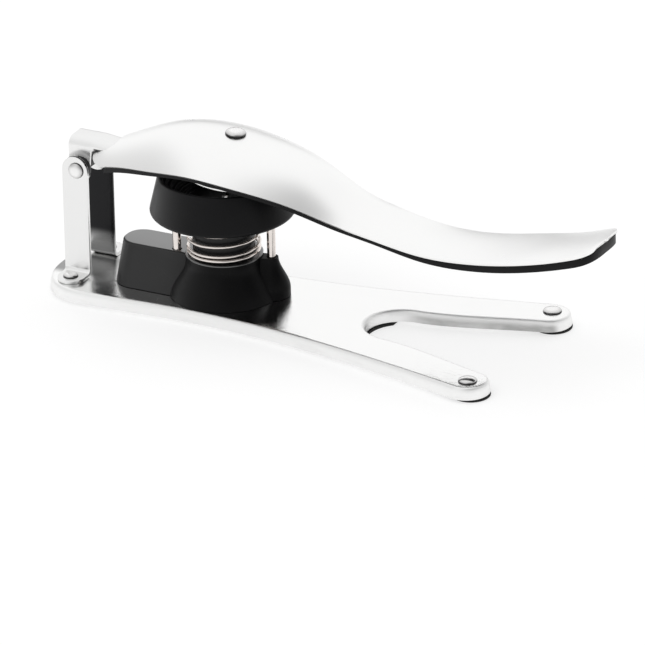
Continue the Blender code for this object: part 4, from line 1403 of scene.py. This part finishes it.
@dataclass
class HingePosts:
    """The two posts with their rivets, the hinge pin and its spacers."""

    palette: Palette
    middle: float = 0.0129
    half_width: float = 0.00535
    sheet: float = 0.0013
    inner: float = 0.0090
    bend_radius: float = 0.0016
    flange_centre: float = 0.0151
    flange_rivet: float = 0.0125
    flange_rivet_radius: float = 0.0029
    rivet_height: float = 0.0012
    rivet_shank: float = 0.0015
    rivet_tail: float = 0.0026
    rivet_low: float = PLATE_TOP - 0.0010
    pin_radius: float = 0.0022
    pin_head_radius: float = 0.0031
    pin_head_height: float = 0.0014
    bush_radius: float = 0.0046

    def strip(self, side: int, word: str) -> None:
        """One post: a round top, a bend at its foot and a round flange on the plate.

        Args:
            side: -1 for the near post and 1 for the far one.
            word: near or far.
        """
        outer = self.inner + self.sheet
        seat = PLATE_TOP + GAP / 3 + self.sheet
        pivot = above(PIVOT_HEIGHT)
        caps = [3.0, 8.0, 14.0, 21.0, 29.0, 38.0, 47.0, 56.0, 66.0, 78.0, 90.0]
        path = [(outer, pivot + self.half_width * cosine(a), sine(a)) for a in caps]
        path += [(outer, height, 1.0) for height in spread(pivot, seat + self.bend_radius, 6)[1:-1]]
        path += [(outer + self.bend_radius * (1 - cosine(a)), seat + self.bend_radius * (1 - sine(a)), 1.0)
                 for a in spread(0.0, 90.0, 7)]
        path += [(self.flange_centre + self.half_width * cosine(a), seat, sine(a)) for a in reversed(caps)]
        rows = [[(along(self.middle) + self.half_width * share * x, side * y, z) for x in spread(-1.0, 1.0, 6)]
                for y, z, share in path]
        post = sheet(f"{word}_post", rows, self.sheet if side > 0 else -self.sheet)
        tidy(post)
        rounded(post, 0.0002, 3, 50.0)
        finish(post, Standing(Body.BASE, Slot.BRUSHED, (f"{word}_upright",)),
               self.palette.near_post if side < 0 else self.palette.far_post)

    def flange_rivets(self) -> None:
        """A domed rivet through each flange."""
        seat = PLATE_TOP + GAP / 3 + self.sheet
        rivet = Rivet(self.flange_rivet_radius, self.rivet_height, seat, self.rivet_shank, self.rivet_tail,
                      self.rivet_low)
        for side, word in SIDES:
            place = Matrix.Translation((along(self.flange_rivet), side * self.flange_centre, 0.0))
            piece = put(rivet.solid(f"{word}_flange_rivet_head", 56), place)
            finish(piece, Standing(Body.BASE, Slot.POLISHED, (f"{word}_flange_rivet",)), self.palette.bright, 50.0)

    def pin(self) -> None:
        """The hinge pin with a domed head outside each post."""
        seat = self.inner + self.sheet + GAP / 6
        head = dome(self.pin_head_radius, self.pin_head_height, seat)
        corners = head + [(self.pin_radius, seat, 0.0), (self.pin_radius, -seat, 0.0)]
        corners += [(radius, -height, rounding) for radius, height, rounding in reversed(head)]
        pin = mark_painted_head_shade(turned("hinge_pin", filleted(corners), 64), self.pin_head_radius)
        put(pin, at_pivot(90))
        finish(pin, Standing(Body.BASE, Slot.POLISHED, ("pivot_pin",)), self.palette.pin, 50.0)

    def bushes(self) -> None:
        """A spacer on the pin at each side of the saddle."""
        low, high = SADDLE_HALF_WIDTH + GAP, self.inner - GAP
        bore, outside = self.pin_radius + GAP / 2, self.bush_radius
        profile = filleted([(bore, high, 0.0), (outside, high, 0.0003), (outside, low, 0.0003), (bore, low, 0.0)])
        for side, word in SIDES:
            bush = put(turned(f"{word}_spacer", profile, 48), at_pivot(-90 * side))
            finish(bush, Standing(Body.BASE, Slot.BLACK, (f"{word}_hinge_bush",)), self.palette.moulded)

    def build(self) -> None:
        """Build the posts and what they carry."""
        for side, word in SIDES:
            self.strip(side, word)
        self.flange_rivets()
        self.pin()
        self.bushes()


@dataclass
class LeverShape:
    """The lever's outer face, which its shell, liner and saddle all follow."""

    stations: tuple[tuple[float, float, float, float], ...] = (
        (0.0195, 0.0107, 0.0458, 0.0514),
        (0.0225, 0.0120, 0.0468, 0.0528),
        (0.0355, 0.0170, 0.0508, 0.0588),
        (0.0505, 0.0215, 0.0535, 0.0647),
        (0.0675, 0.0247, 0.0557, 0.0662),
        (0.0855, 0.0243, 0.0543, 0.0643),
        (0.1105, 0.0193, 0.0486, 0.0573),
        (0.1255, 0.0162, 0.0435, 0.0483),
        (0.1405, 0.0146, 0.0403, 0.0413),
        (0.1605, 0.0144, 0.0372, 0.0382),
        (0.1805, 0.0148, 0.0378, 0.0387),
        (0.2005, 0.0156, 0.0412, 0.0420),
        (0.2155, 0.0149, 0.0447, 0.0459),
        (0.2320, 0.0148, 0.0503, 0.0511),
    )
    tip_round: float = 0.0100
    tip_squareness: float = 3.3
    tip_gain: float = 0.0006
    tip_angles: tuple[float, ...] = (8, 16, 24, 32, 40, 47, 54, 61, 67, 73, 78, 82, 85.5)
    nose_round: float = 0.0080
    nose_drop: float = 0.0037

    def __post_init__(self) -> None:
        """Make the curves through the stations."""
        curves = (Curve(self.stations, column) for column in (1, 2, 3))
        self.width_curve, self.edge_curve, self.crown_curve = curves

    def trim(self, distance: float) -> float:
        """How much the rounded nose takes off the half width."""
        nose = min(1.0, max(0.0, 1 - (distance - self.stations[0][0]) / self.nose_round))
        return self.nose_drop * (1 - math.sqrt(1 - nose ** 2))

    def half_width(self, distance: float, inset: float = 0.0) -> float:
        """Half width at a distance from the rear end, for an outline inset all round."""
        start = LENGTH - self.tip_round
        width = self.width_curve.at(distance) - self.trim(distance) - inset
        if distance > start:
            share = min(1.0, (distance - start) / (self.tip_round - max(0.0, inset - self.tip_gain)))
            width *= (1 - share ** self.tip_squareness) ** (1 / self.tip_squareness)
        return width

    def height(self, distance: float, share: float) -> float:
        """Height of the outer face at a share of its half width."""
        edge = self.edge_curve.at(distance)
        crown = self.crown_curve.at(distance)
        share *= 1 - self.trim(distance) / self.width_curve.at(distance)
        return edge + (crown - edge) * (1 - 0.85 * share ** 2 - 0.15 * share ** 4)

    def under(self, distance: float, across: float, half: float, depth: float) -> float:
        """Height this far below the outer face, square to it.

        Args:
            distance: from the rear end.
            across: from the middle plane.
            half: the shell's half width there.
            depth: how far below.

        Returns:
            The height above the plate.
        """
        step = GAP
        share = min(1.0, abs(across) / half)
        low = max(0.0, (abs(across) - step) / half)
        here, behind, ahead = (self.height(distance + way * step, share) for way in (0, -1, 1))
        slopes = ((self.height(distance, low) - here) / step) ** 2 + ((ahead - behind) / (2 * step)) ** 2
        return here - depth * math.sqrt(1 + slopes)

    def places(self, start: float, inset: float, steps: int) -> list[float]:
        """Ring places along the lever, closer together round its tip."""
        body_end = LENGTH - self.tip_round
        reach = self.tip_round - max(0.0, inset - self.tip_gain)
        nose_end = start + self.nose_round
        nose = [nose_end - self.nose_round * cosine(a) for a in spread(0.0, 90.0, 10)]
        tip = [body_end + reach * sine(a) for a in self.tip_angles]
        return nose + spread(nose_end, body_end, steps)[1:] + tip

    @staticmethod
    def shares(steps: int) -> list[float]:
        """Places across, closer together towards the edges."""
        return [math.sin(math.pi / 2 * place) for place in spread(-1.0, 1.0, steps)]


@dataclass
class Lever:
    """The pressed shell, its black liner and the saddle that hinges them."""

    palette: Palette
    shape: LeverShape
    sheet: float = 0.0010
    rear: float = 0.0195
    notch_end: float = 0.0285
    notch_half_width: float = 0.0070
    notch_mouth: Flat = (0.0245, 0.0064)
    liner_rear: float = 0.0270
    liner_wall: float = 0.0018
    liner_inset: float = 0.0009
    liner_lips: tuple[Flat, ...] = (
        (0.0270, 0.0029), (0.0700, 0.0019), (0.1000, 0.0023), (0.1300, 0.0026), (0.1600, 0.0034),
        (0.1950, 0.0042), (0.2150, 0.0043), (0.2320, 0.0047))
    saddle_sheet: float = 0.0012
    saddle_bend: float = 0.0035
    saddle_top: float = 0.0113
    saddle_drop: float = 0.0009
    saddle_rear: float = 0.0084
    saddle_front: float = 0.0175
    saddle_ear: float = 0.0054
    tongue_end: float = 0.0400
    tongue_depth: float = 0.0034

    def shell(self) -> None:
        """The pressed steel shell with rolled edges and a notch round the saddle."""
        rows = []
        for distance in self.shape.places(self.rear, 0.0, 150):
            half = self.shape.half_width(distance)
            rows.append([(along(distance), half * share, above(self.shape.height(distance, share)))
                         for share in self.shape.shares(52)])
        shell = sheet("lever_hood", rows, -self.sheet)
        low, high = above(PIVOT_HEIGHT), above(2 * PIVOT_HEIGHT)
        corner = self.notch_half_width / 2
        throat, mouth = self.notch_mouth
        outline = [(along(self.saddle_rear), -mouth), (along(self.rear), -mouth),
                   (along(throat), -self.notch_half_width)]
        outline += [(along(self.notch_end - corner) + x, -self.notch_half_width + corner + y)
                    for x, y in arc((0.0, 0.0), (corner, corner), -90, 0, 8)]
        outline += [(x, -y) for x, y in reversed(outline)]
        carve(shell, lofted("notch", [[(x, y, z) for x, y in reversed(outline)] for z in (low, high)]))
        rounded(shell, 0.00018, 3, 45.0)
        finish(shell, Standing(Body.LEVER, Slot.BRUSHED, ("lever_shell",)), self.palette.lever, 40.0)

    def liner_solid(self, name: str, start: float, inset: float, depth: float, drop: float) -> bpy.types.Object:
        """The room under the shell as a closed solid.

        Args:
            name: its name.
            start: its rear end.
            inset: how far it stays inside the shell's edge.
            depth: how far below the outer face its top is.
            drop: how far below the lip its open side is.

        Returns:
            The solid.
        """
        lips = Curve(self.liner_lips, 1)
        rings = []
        for distance in self.shape.places(start, inset, 110):
            shell_half = self.shape.half_width(distance)
            half = min(self.shape.half_width(distance, inset), shell_half - inset)
            lip = self.shape.edge_curve.at(distance) - lips.at(distance) - drop
            ring = [(along(distance), -half, above(lip))]
            for share in self.shape.shares(36):
                height = max(self.shape.under(distance, half * share, shell_half, depth), lip + GAP)
                ring.append((along(distance), half * share, above(height)))
            ring.append((along(distance), half, above(lip)))
            rings.append(ring)
        return lofted(name, rings)

    def liner(self) -> None:
        """The moulded liner, hollow from below and notched for the saddle's tongue."""
        under = self.sheet + GAP / 2
        liner = self.liner_solid("lever_lining", self.liner_rear, self.liner_inset, under, 0.0)
        room = self.liner_solid("room", self.liner_rear - self.liner_wall, self.liner_inset + self.liner_wall,
                                under + self.liner_wall, self.liner_wall)
        carve(liner, room)
        low = (along(self.saddle_rear), -self.notch_half_width, above(PIVOT_HEIGHT))
        high = (along(self.tongue_end) + GAP, self.notch_half_width, above(2 * PIVOT_HEIGHT))
        carve(liner, block("tongue_room", low, high))
        rounded(liner, 0.00018, 2, 50.0)
        finish(liner, Standing(Body.LEVER, Slot.BLACK, ("lever_liner",)), self.palette.liner)

    def crest(self, distance: float) -> float:
        """Height of the saddle's top."""
        level = PIVOT_HEIGHT + self.saddle_top
        level -= self.saddle_drop * ease((distance - self.saddle_front) / (self.notch_end - self.saddle_front))
        under = self.shape.crown_curve.at(max(distance, self.rear)) - self.sheet - GAP / 2
        return max(level, under) if distance > self.notch_end - self.sheet else level

    def lower_edge(self, distance: float) -> float:
        """Height of the saddle's lower edge: a round ear about the pivot, then the tongue."""
        ahead = distance - PIVOT
        round_end = PIVOT_HEIGHT - math.sqrt(max(0.0, self.saddle_ear ** 2 - ahead ** 2))
        tongue = self.crest(distance) - self.tongue_depth
        share = ease((distance - self.saddle_front + self.saddle_sheet) / (1.5 * self.saddle_sheet))
        return round_end + (tongue - round_end) * share

    def saddle(self) -> None:
        """The hinge saddle: an upside-down channel with round ears and a tongue under the shell."""
        ear = [PIVOT - (PIVOT - self.saddle_rear) * cosine(a) for a in spread(0.0, 90.0, 10)]
        front = self.saddle_front + self.saddle_sheet
        stations = ear + spread(PIVOT, front, 16)[1:] + spread(front, self.tongue_end, 20)[1:]
        rows = []
        for distance in stations:
            crest, low = self.crest(distance), self.lower_edge(distance)
            shoulder = crest - self.saddle_bend
            flank = [(SADDLE_HALF_WIDTH, z) for z in spread(min(low, shoulder - GAP), shoulder, 8)[:-1]]
            centre = (SADDLE_HALF_WIDTH - self.saddle_bend, shoulder)
            flank += arc(centre, (self.saddle_bend, self.saddle_bend), 0, 90, 9)
            if low > shoulder - GAP:
                flank = [(y, max(z, low)) for y, z in flank]
            half = [(along(distance), -y, above(z)) for y, z in flank]
            rows.append(half + [(x, -y, z) for x, y, z in reversed(half)])
        saddle = sheet("hinge_channel", rows, -self.saddle_sheet)
        tidy(saddle)
        rounded(saddle, 0.0002, 2, 50.0)
        finish(saddle, Standing(Body.LEVER, Slot.BRUSHED, ("hinge_saddle",)), self.palette.saddle, 40.0)

    def build(self) -> None:
        """Build the lever."""
        self.shell()
        self.liner()
        self.saddle()


@dataclass
class PressHead:
    """Boss and dished disc on the lever rivet, square to its tilted axis."""

    palette: Palette
    shape: LeverShape
    rivet: float = 0.0771
    tilt: float = 4.5
    radius: float = 0.0199
    sheet: float = 0.0010
    dish: float = 0.0020
    rim: float = 0.0034
    boss_radius: float = 0.0180
    boss_top: float = 0.0050
    boss_shoulder: float = 0.0140
    shoulder_drop: float = 0.0038
    rivet_radius: float = 0.0040
    rivet_height: float = 0.00165
    shank: float = 0.0022
    shell: float = 0.0010
    liner: float = 0.0018

    def build(self) -> None:
        """Build the disc, the boss and the rivet in the tilted frame."""
        tilt = math.radians(self.tilt)
        crown = self.shape.height(self.rivet, 0.0)
        rim = CUP_TOP + GAP + self.radius * math.sin(tilt)
        length = (crown - rim) / math.cos(tilt)
        centre = self.rivet - (crown - rim) * math.tan(tilt)
        frame = Matrix.Translation((along(centre), 0.0, above(rim))) @ Matrix.Rotation(tilt, 4, "Y")
        slope, flat = self.radius - self.rim, self.rivet_radius + 2 * self.sheet
        disc = turned("press_disc", filleted([
            (0.0, self.dish + self.sheet, 0.0), (flat, self.dish + self.sheet, 0.002),
            (slope, self.sheet, 0.003), (self.radius, self.sheet, 0.0003), (self.radius, 0.0, 0.0003),
            (slope, 0.0, 0.002), (flat, self.dish, 0.003), (0.0, self.dish, 0.0)], 5), 96)
        put(disc, frame)
        finish(disc, Standing(Body.LEVER, Slot.POLISHED, ("press_plate",)), self.palette.bright, 45.0)
        top = length - self.shell - self.liner - GAP
        base = self.sheet + GAP
        boss = turned("press_boss", filleted([
            (0.0, top, 0.0), (self.boss_top, top, 0.001), (self.boss_shoulder, top - self.shoulder_drop, 0.002),
            (self.boss_radius, base + self.dish, 0.001), (self.boss_radius, base, 0.0004), (slope, base, 0.0),
            (flat, base + self.dish, 0.0), (0.0, base + self.dish, 0.0)], 5), 96)
        put(boss, frame)
        finish(boss, Standing(Body.LEVER, Slot.BLACK, ("press_head",)), self.palette.moulded)
        rivet = Rivet(self.rivet_radius, self.rivet_height, length + GAP / 2, self.shank, self.rivet_radius,
                      self.dish - GAP, 0.0009, (0.0002, 0.0004))
        piece = put(rivet.solid("lever_rivet_head", 72), frame)
        finish(piece, Standing(Body.LEVER, Slot.POLISHED, ("lever_rivet",)), self.palette.bright, 50.0)


@dataclass
class NutCup:
    """The stepped cup and the two pins that guide it."""

    palette: Palette
    height: float = 0.0155
    top_radius: float = 0.0243
    bottom_radius: float = 0.0278
    wall: float = 0.0015
    edge: float = 0.0021
    floor: float = 0.0018
    depth: float = 0.0110
    brim: float = 0.0040
    steps: int = 5
    step_width: float = 0.0018
    recess_radius: float = 0.01535
    guide_radius: float = 0.00165
    guide_in_cup: float = 0.0066
    guide_low: float = 0.0124
    guide_head_radius: float = 0.0024
    guide_head: float = 0.0018
    slot_half_width: float = 0.0010
    slot_reach: float = 0.0096

    def body(self) -> None:
        """The cup: floor, gripping steps, rim, tapered outside and spring recess."""
        bottom, floor = CUP_TOP - self.height, CUP_TOP - self.depth
        inner = self.top_radius - self.wall
        rise = (self.depth - self.brim) / self.steps
        tread = self.step_width * 0.72
        corners = [(0.0, floor, 0.0), (inner - (self.steps - 1) * self.step_width - tread, floor, 0.00025)]
        for index in reversed(range(self.steps)):
            radius = inner - index * self.step_width
            height = CUP_TOP - self.brim - index * rise
            corners += [(radius - tread, height, 0.0003), (radius, height, 0.0002)]
        corners += [(inner, CUP_TOP, self.wall * 0.45), (self.top_radius, CUP_TOP, self.wall * 0.45),
                    (self.bottom_radius, bottom + self.edge * 0.6, self.edge * 1.1),
                    (self.bottom_radius - self.edge * 0.5, bottom, self.edge * 0.8),
                    (self.recess_radius, bottom, 0.0003), (self.recess_radius, floor - self.floor, 0.0003),
                    (0.0, floor - self.floor, 0.0)]
        cup = turned("nut_cup", [(radius, above(height)) for radius, height in filleted(corners, 5)], 144)
        put(cup, on_axis())
        for turn in (GUIDE_TURN, GUIDE_TURN + 90):
            slot = block("slot", (-self.slot_reach, -self.slot_half_width, above(bottom)),
                         (self.slot_reach, self.slot_half_width, above(CUP_TOP)))
            carve(cup, put(slot, on_axis(turn)))
        finish(cup, Standing(Body.CUP, Slot.BLACK, ("cup",)), self.palette.cup)

    def pins(self) -> None:
        """The polished pins, each with a head in its bore."""
        top, low = above(CUP_TOP - self.height + self.guide_in_cup), above(self.guide_low)
        head, end = self.guide_head_radius, low - self.guide_head
        corners = [(0.0, top, 0.0), (self.guide_radius, top, 0.0003), (self.guide_radius, low, 0.0),
                   (head, low, 0.0002), (head, end, 0.0002), (0.0, end, 0.0)]
        for way, name in ((-1, "rear_guide"), (1, "front_guide")):
            pin = put(turned(name, filleted(corners), 40), at_guide(way))
            finish(pin, Standing(Body.CUP, Slot.POLISHED, (f"{name}_pin",)), self.palette.wire, 50.0)

    def build(self) -> None:
        """Build the cup and its pins."""
        self.body()
        self.pins()


@dataclass
class LowerHousing:
    """The moulded base: a flared cone, two pin lugs and the rear block."""

    palette: Palette
    seat: float = 0.0164
    cone: tuple[Flat, ...] = (
        (0.0, 0.0148), (0.0040, 0.0149), (0.0090, 0.0177), (0.0131, 0.0201), (0.0164, 0.0213))
    lug_height: float = 0.0155
    lug_top_radius: float = 0.0026
    lug_foot_radius: float = 0.0070
    lug_flare: float = 0.82
    guide_bore: float = 0.00195
    block_height: float = 0.0159
    block_rear: float = 0.0269
    block_round: float = 0.0102
    block_top_round: float = 0.0084
    block_half_width: float = 0.0132
    block_top_half_width: float = 0.0074
    block_shoulder: float = 0.0008
    socket_radius: float = 0.0083
    socket_depth: float = 0.0072

    def lug(self, turn: float) -> bpy.types.Object:
        """A lug round one pin, flared at its foot and spread back to the cone.

        Args:
            turn: its direction in degrees from +X.

        Returns:
            The lug.
        """
        base = PLATE_TOP + GAP / 2
        rings = []
        start = self.socket_radius / 3
        for share in spread(0.0, 1.0, 18):
            flare = ease(share / self.lug_flare)
            radius = self.lug_top_radius + (self.lug_foot_radius - self.lug_top_radius) * flare
            root = radius + (self.cone[-1][1] - self.lug_foot_radius) * share ** 2
            height = base + (above(self.lug_height) - base) * (1 - share)
            end = arc((GUIDE_SPREAD, 0.0), (radius, radius), 90, -90, 24)
            rings.append([(start, root, height)] + [(x, y, height) for x, y in end] + [(start, -root, height)])
        return put(lofted("lug", rings), on_axis(turn))

    def block(self) -> bpy.types.Object:
        """The rear block with sloping sides, a rounded rear end and a soft upper edge."""
        top, base = above(self.block_height), PLATE_TOP + 2 * GAP / 3
        centre, front = along(self.block_rear + self.block_round), along(AXIS)
        slack = self.block_shoulder
        levels = [(base, 0.0, 0.0)]
        levels += [(top - slack * (1 - sine(a)), 1.0, slack * (1 - cosine(a))) for a in spread(0.0, 90.0, 9)]
        rings = []
        for height, share, trim in levels:
            depth = self.block_round + (self.block_top_round - self.block_round) * share - trim
            width = self.block_half_width + (self.block_top_half_width - self.block_half_width) * share - trim
            rear = arc((centre, 0.0), (depth, width), 90, 270, 48, 2.4)
            rings.append([(front, width, height)] + [(x, y, height) for x, y in rear] + [(front, -width, height)])
        return lofted("block", rings)

    def build(self) -> None:
        """Build the housing as one solid with its socket and bores."""
        base = PLATE_TOP + GAP / 3
        seat = above(self.seat)
        radii = Curve(self.cone, 1)
        profile = [(0.0, seat), (self.cone[0][1] - GAP, seat)]
        profile += [(radii.at(depth), seat - depth) for depth in spread(GAP, seat - base, 28)]
        profile.append((0.0, base))
        housing = put(turned("press_base", profile, 128), on_axis())
        for turn in (GUIDE_TURN, GUIDE_TURN + 180):
            carve(housing, self.lug(turn), "UNION")
        carve(housing, self.block(), "UNION")
        for way in (-1, 1):
            carve(housing, put(drum("bore", self.guide_bore, above(GAP), 2 * seat, 40), at_guide(way)))
        socket = drum("socket", self.socket_radius, seat - self.socket_depth, 2 * seat, 64)
        carve(housing, put(socket, on_axis()))
        rounded(housing, 0.00022, 2, 28.0)
        finish(housing, Standing(Body.BASE, Slot.BLACK, ("lower_housing",)), self.palette.housing, 15.0)


@dataclass
class CuttingCore:
    """The cross of blades and the core that holds them inside the spring."""

    palette: Palette
    top: float = 0.0272
    seat: float = 0.0167
    radius: float = 0.0118
    socket_radius: float = 0.0080
    socket_floor: float = 0.0095
    blade_sheet: float = 0.0008
    blade_half_length: float = 0.0090
    blade_peak: float = 0.0349
    blade_low: float = 0.0197
    blade_edge: float = 0.0016
    blade_rise: float = 0.0030

    def build(self) -> None:
        """Build the core and both blades."""
        corners = [(0.0, self.top, 0.0), (self.radius, self.top, 0.0006), (self.radius, self.seat, 0.0002),
                   (self.socket_radius, self.seat, 0.0), (self.socket_radius, self.socket_floor, 0.0002),
                   (0.0, self.socket_floor, 0.0)]
        core = turned("blade_core", [(radius, above(height)) for radius, height in filleted(corners)], 80)
        put(core, on_axis())
        finish(core, Standing(Body.BASE, Slot.BLACK, ("blade_holder",)), self.palette.moulded)
        half, tip, rings = self.blade_sheet / 2, self.blade_sheet / 12, []
        for share in spread(-1.0, 1.0, 24):
            edge = self.blade_peak - self.blade_rise * share ** 2
            flank = [(half, self.blade_low), (half, edge - self.blade_edge), (tip, edge)]
            section = [(-y, z) for y, z in flank] + flank[::-1]
            rings.append([(self.blade_half_length * share, y, above(z)) for y, z in section])
        for word, turn in (("long", GUIDE_TURN), ("cross", GUIDE_TURN + 90)):
            blade = put(lofted(f"{word}_edge", rings), on_axis(turn))
            finish(blade, Standing(Body.BASE, Slot.POLISHED, (f"{word}_blade",)), self.palette.bright, 20.0)


@dataclass
class ReturnSpring:
    """The wire spring between the housing and the cup, with closed end turns."""

    palette: Palette
    low: float = 0.0167
    high: float = 0.0352
    stroke: float = 0.0080
    wire: float = 0.0006
    radius: float = 0.01355
    closed_pitch: float = 0.00168
    seat_turns: float = 1.25
    cup_turns: float = 1.0
    open_turns: float = 3.3
    start: float = -162.0
    points: int = 56
    easing: float = 0.12

    def rise(self, turn: float, pitch: float) -> float:
        """Height of the wire above its start, with the pitch eased between closed and open turns."""
        def opened(place: float) -> float:
            share = min(1.0, max(0.0, (place + self.easing) / (2 * self.easing)))
            return self.easing * share * share if share < 1 else place
        open_part = opened(turn - self.seat_turns) - opened(turn - self.seat_turns - self.open_turns)
        return self.closed_pitch * (turn - open_part) + pitch * open_part

    def build(self) -> None:
        """Wind the wire as a round curve and make it a mesh."""
        closed = self.seat_turns + self.cup_turns
        pitch = (self.high - self.low - 2 * self.wire - closed * self.closed_pitch) / self.open_turns
        turns = closed + self.open_turns
        clear_selection()
        bpy.ops.curve.primitive_nurbs_path_add()
        item = bpy.context.object
        item.name = "spring_wire"
        shape = item.data
        shape.splines.clear()
        count = round(turns * self.points)
        line = shape.splines.new("POLY")
        line.points.add(count)
        for index, point in enumerate(line.points):
            turn = turns * index / count
            angle = math.radians(self.start) + 2 * math.pi * turn
            point.co = (along(AXIS) + self.radius * math.cos(angle), self.radius * math.sin(angle),
                        above(self.low + self.wire + self.rise(turn, pitch)), 1.0)
        shape.dimensions = "3D"
        shape.bevel_depth = self.wire
        shape.bevel_resolution = 4
        shape.use_fill_caps = True
        bpy.ops.object.convert(target="MESH")
        item = bpy.context.object
        tidy(item)
        finish(item, Standing(Body.BASE, Slot.POLISHED, ("return_spring",)), self.palette.wire, 60.0)
        span = self.high - self.low
        along(AXIS)
        above(self.low)
        (span - self.stroke) / span
        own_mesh(item)


def dress_frame(frame: dict, palette: Palette) -> None:
    """Give every CAD node its finish."""
    slots = {
        Slot.BRUSHED.value: palette.lever,
        Slot.POLISHED.value: palette.bright,
        Slot.BLACK.value: palette.moulded,
        Slot.RUBBER.value: palette.rubber,
    }
    for row in frame["record"]["subparts"]:
        node = frame["nodes"][row["node"]]
        node.data.materials.clear()
        node.data.materials.append(slots[row["material_slot"]])


def main() -> None:
    """Build the scene: studio, finishes and the sub-assemblies in the order they are put together."""
    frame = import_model()
    Studio().build()
    palette = Palette.mixed()
    dress_frame(frame, palette)
    ForkedBase(palette).build()
    HingePosts(palette).build()
    shape = LeverShape()
    Lever(palette, shape).build()
    PressHead(palette, shape).build()
    NutCup(palette).build()
    LowerHousing(palette).build()
    CuttingCore(palette).build()
    ReturnSpring(palette).build()


if __name__ == "__main__":
    logging.basicConfig(level=logging.INFO)
    main()
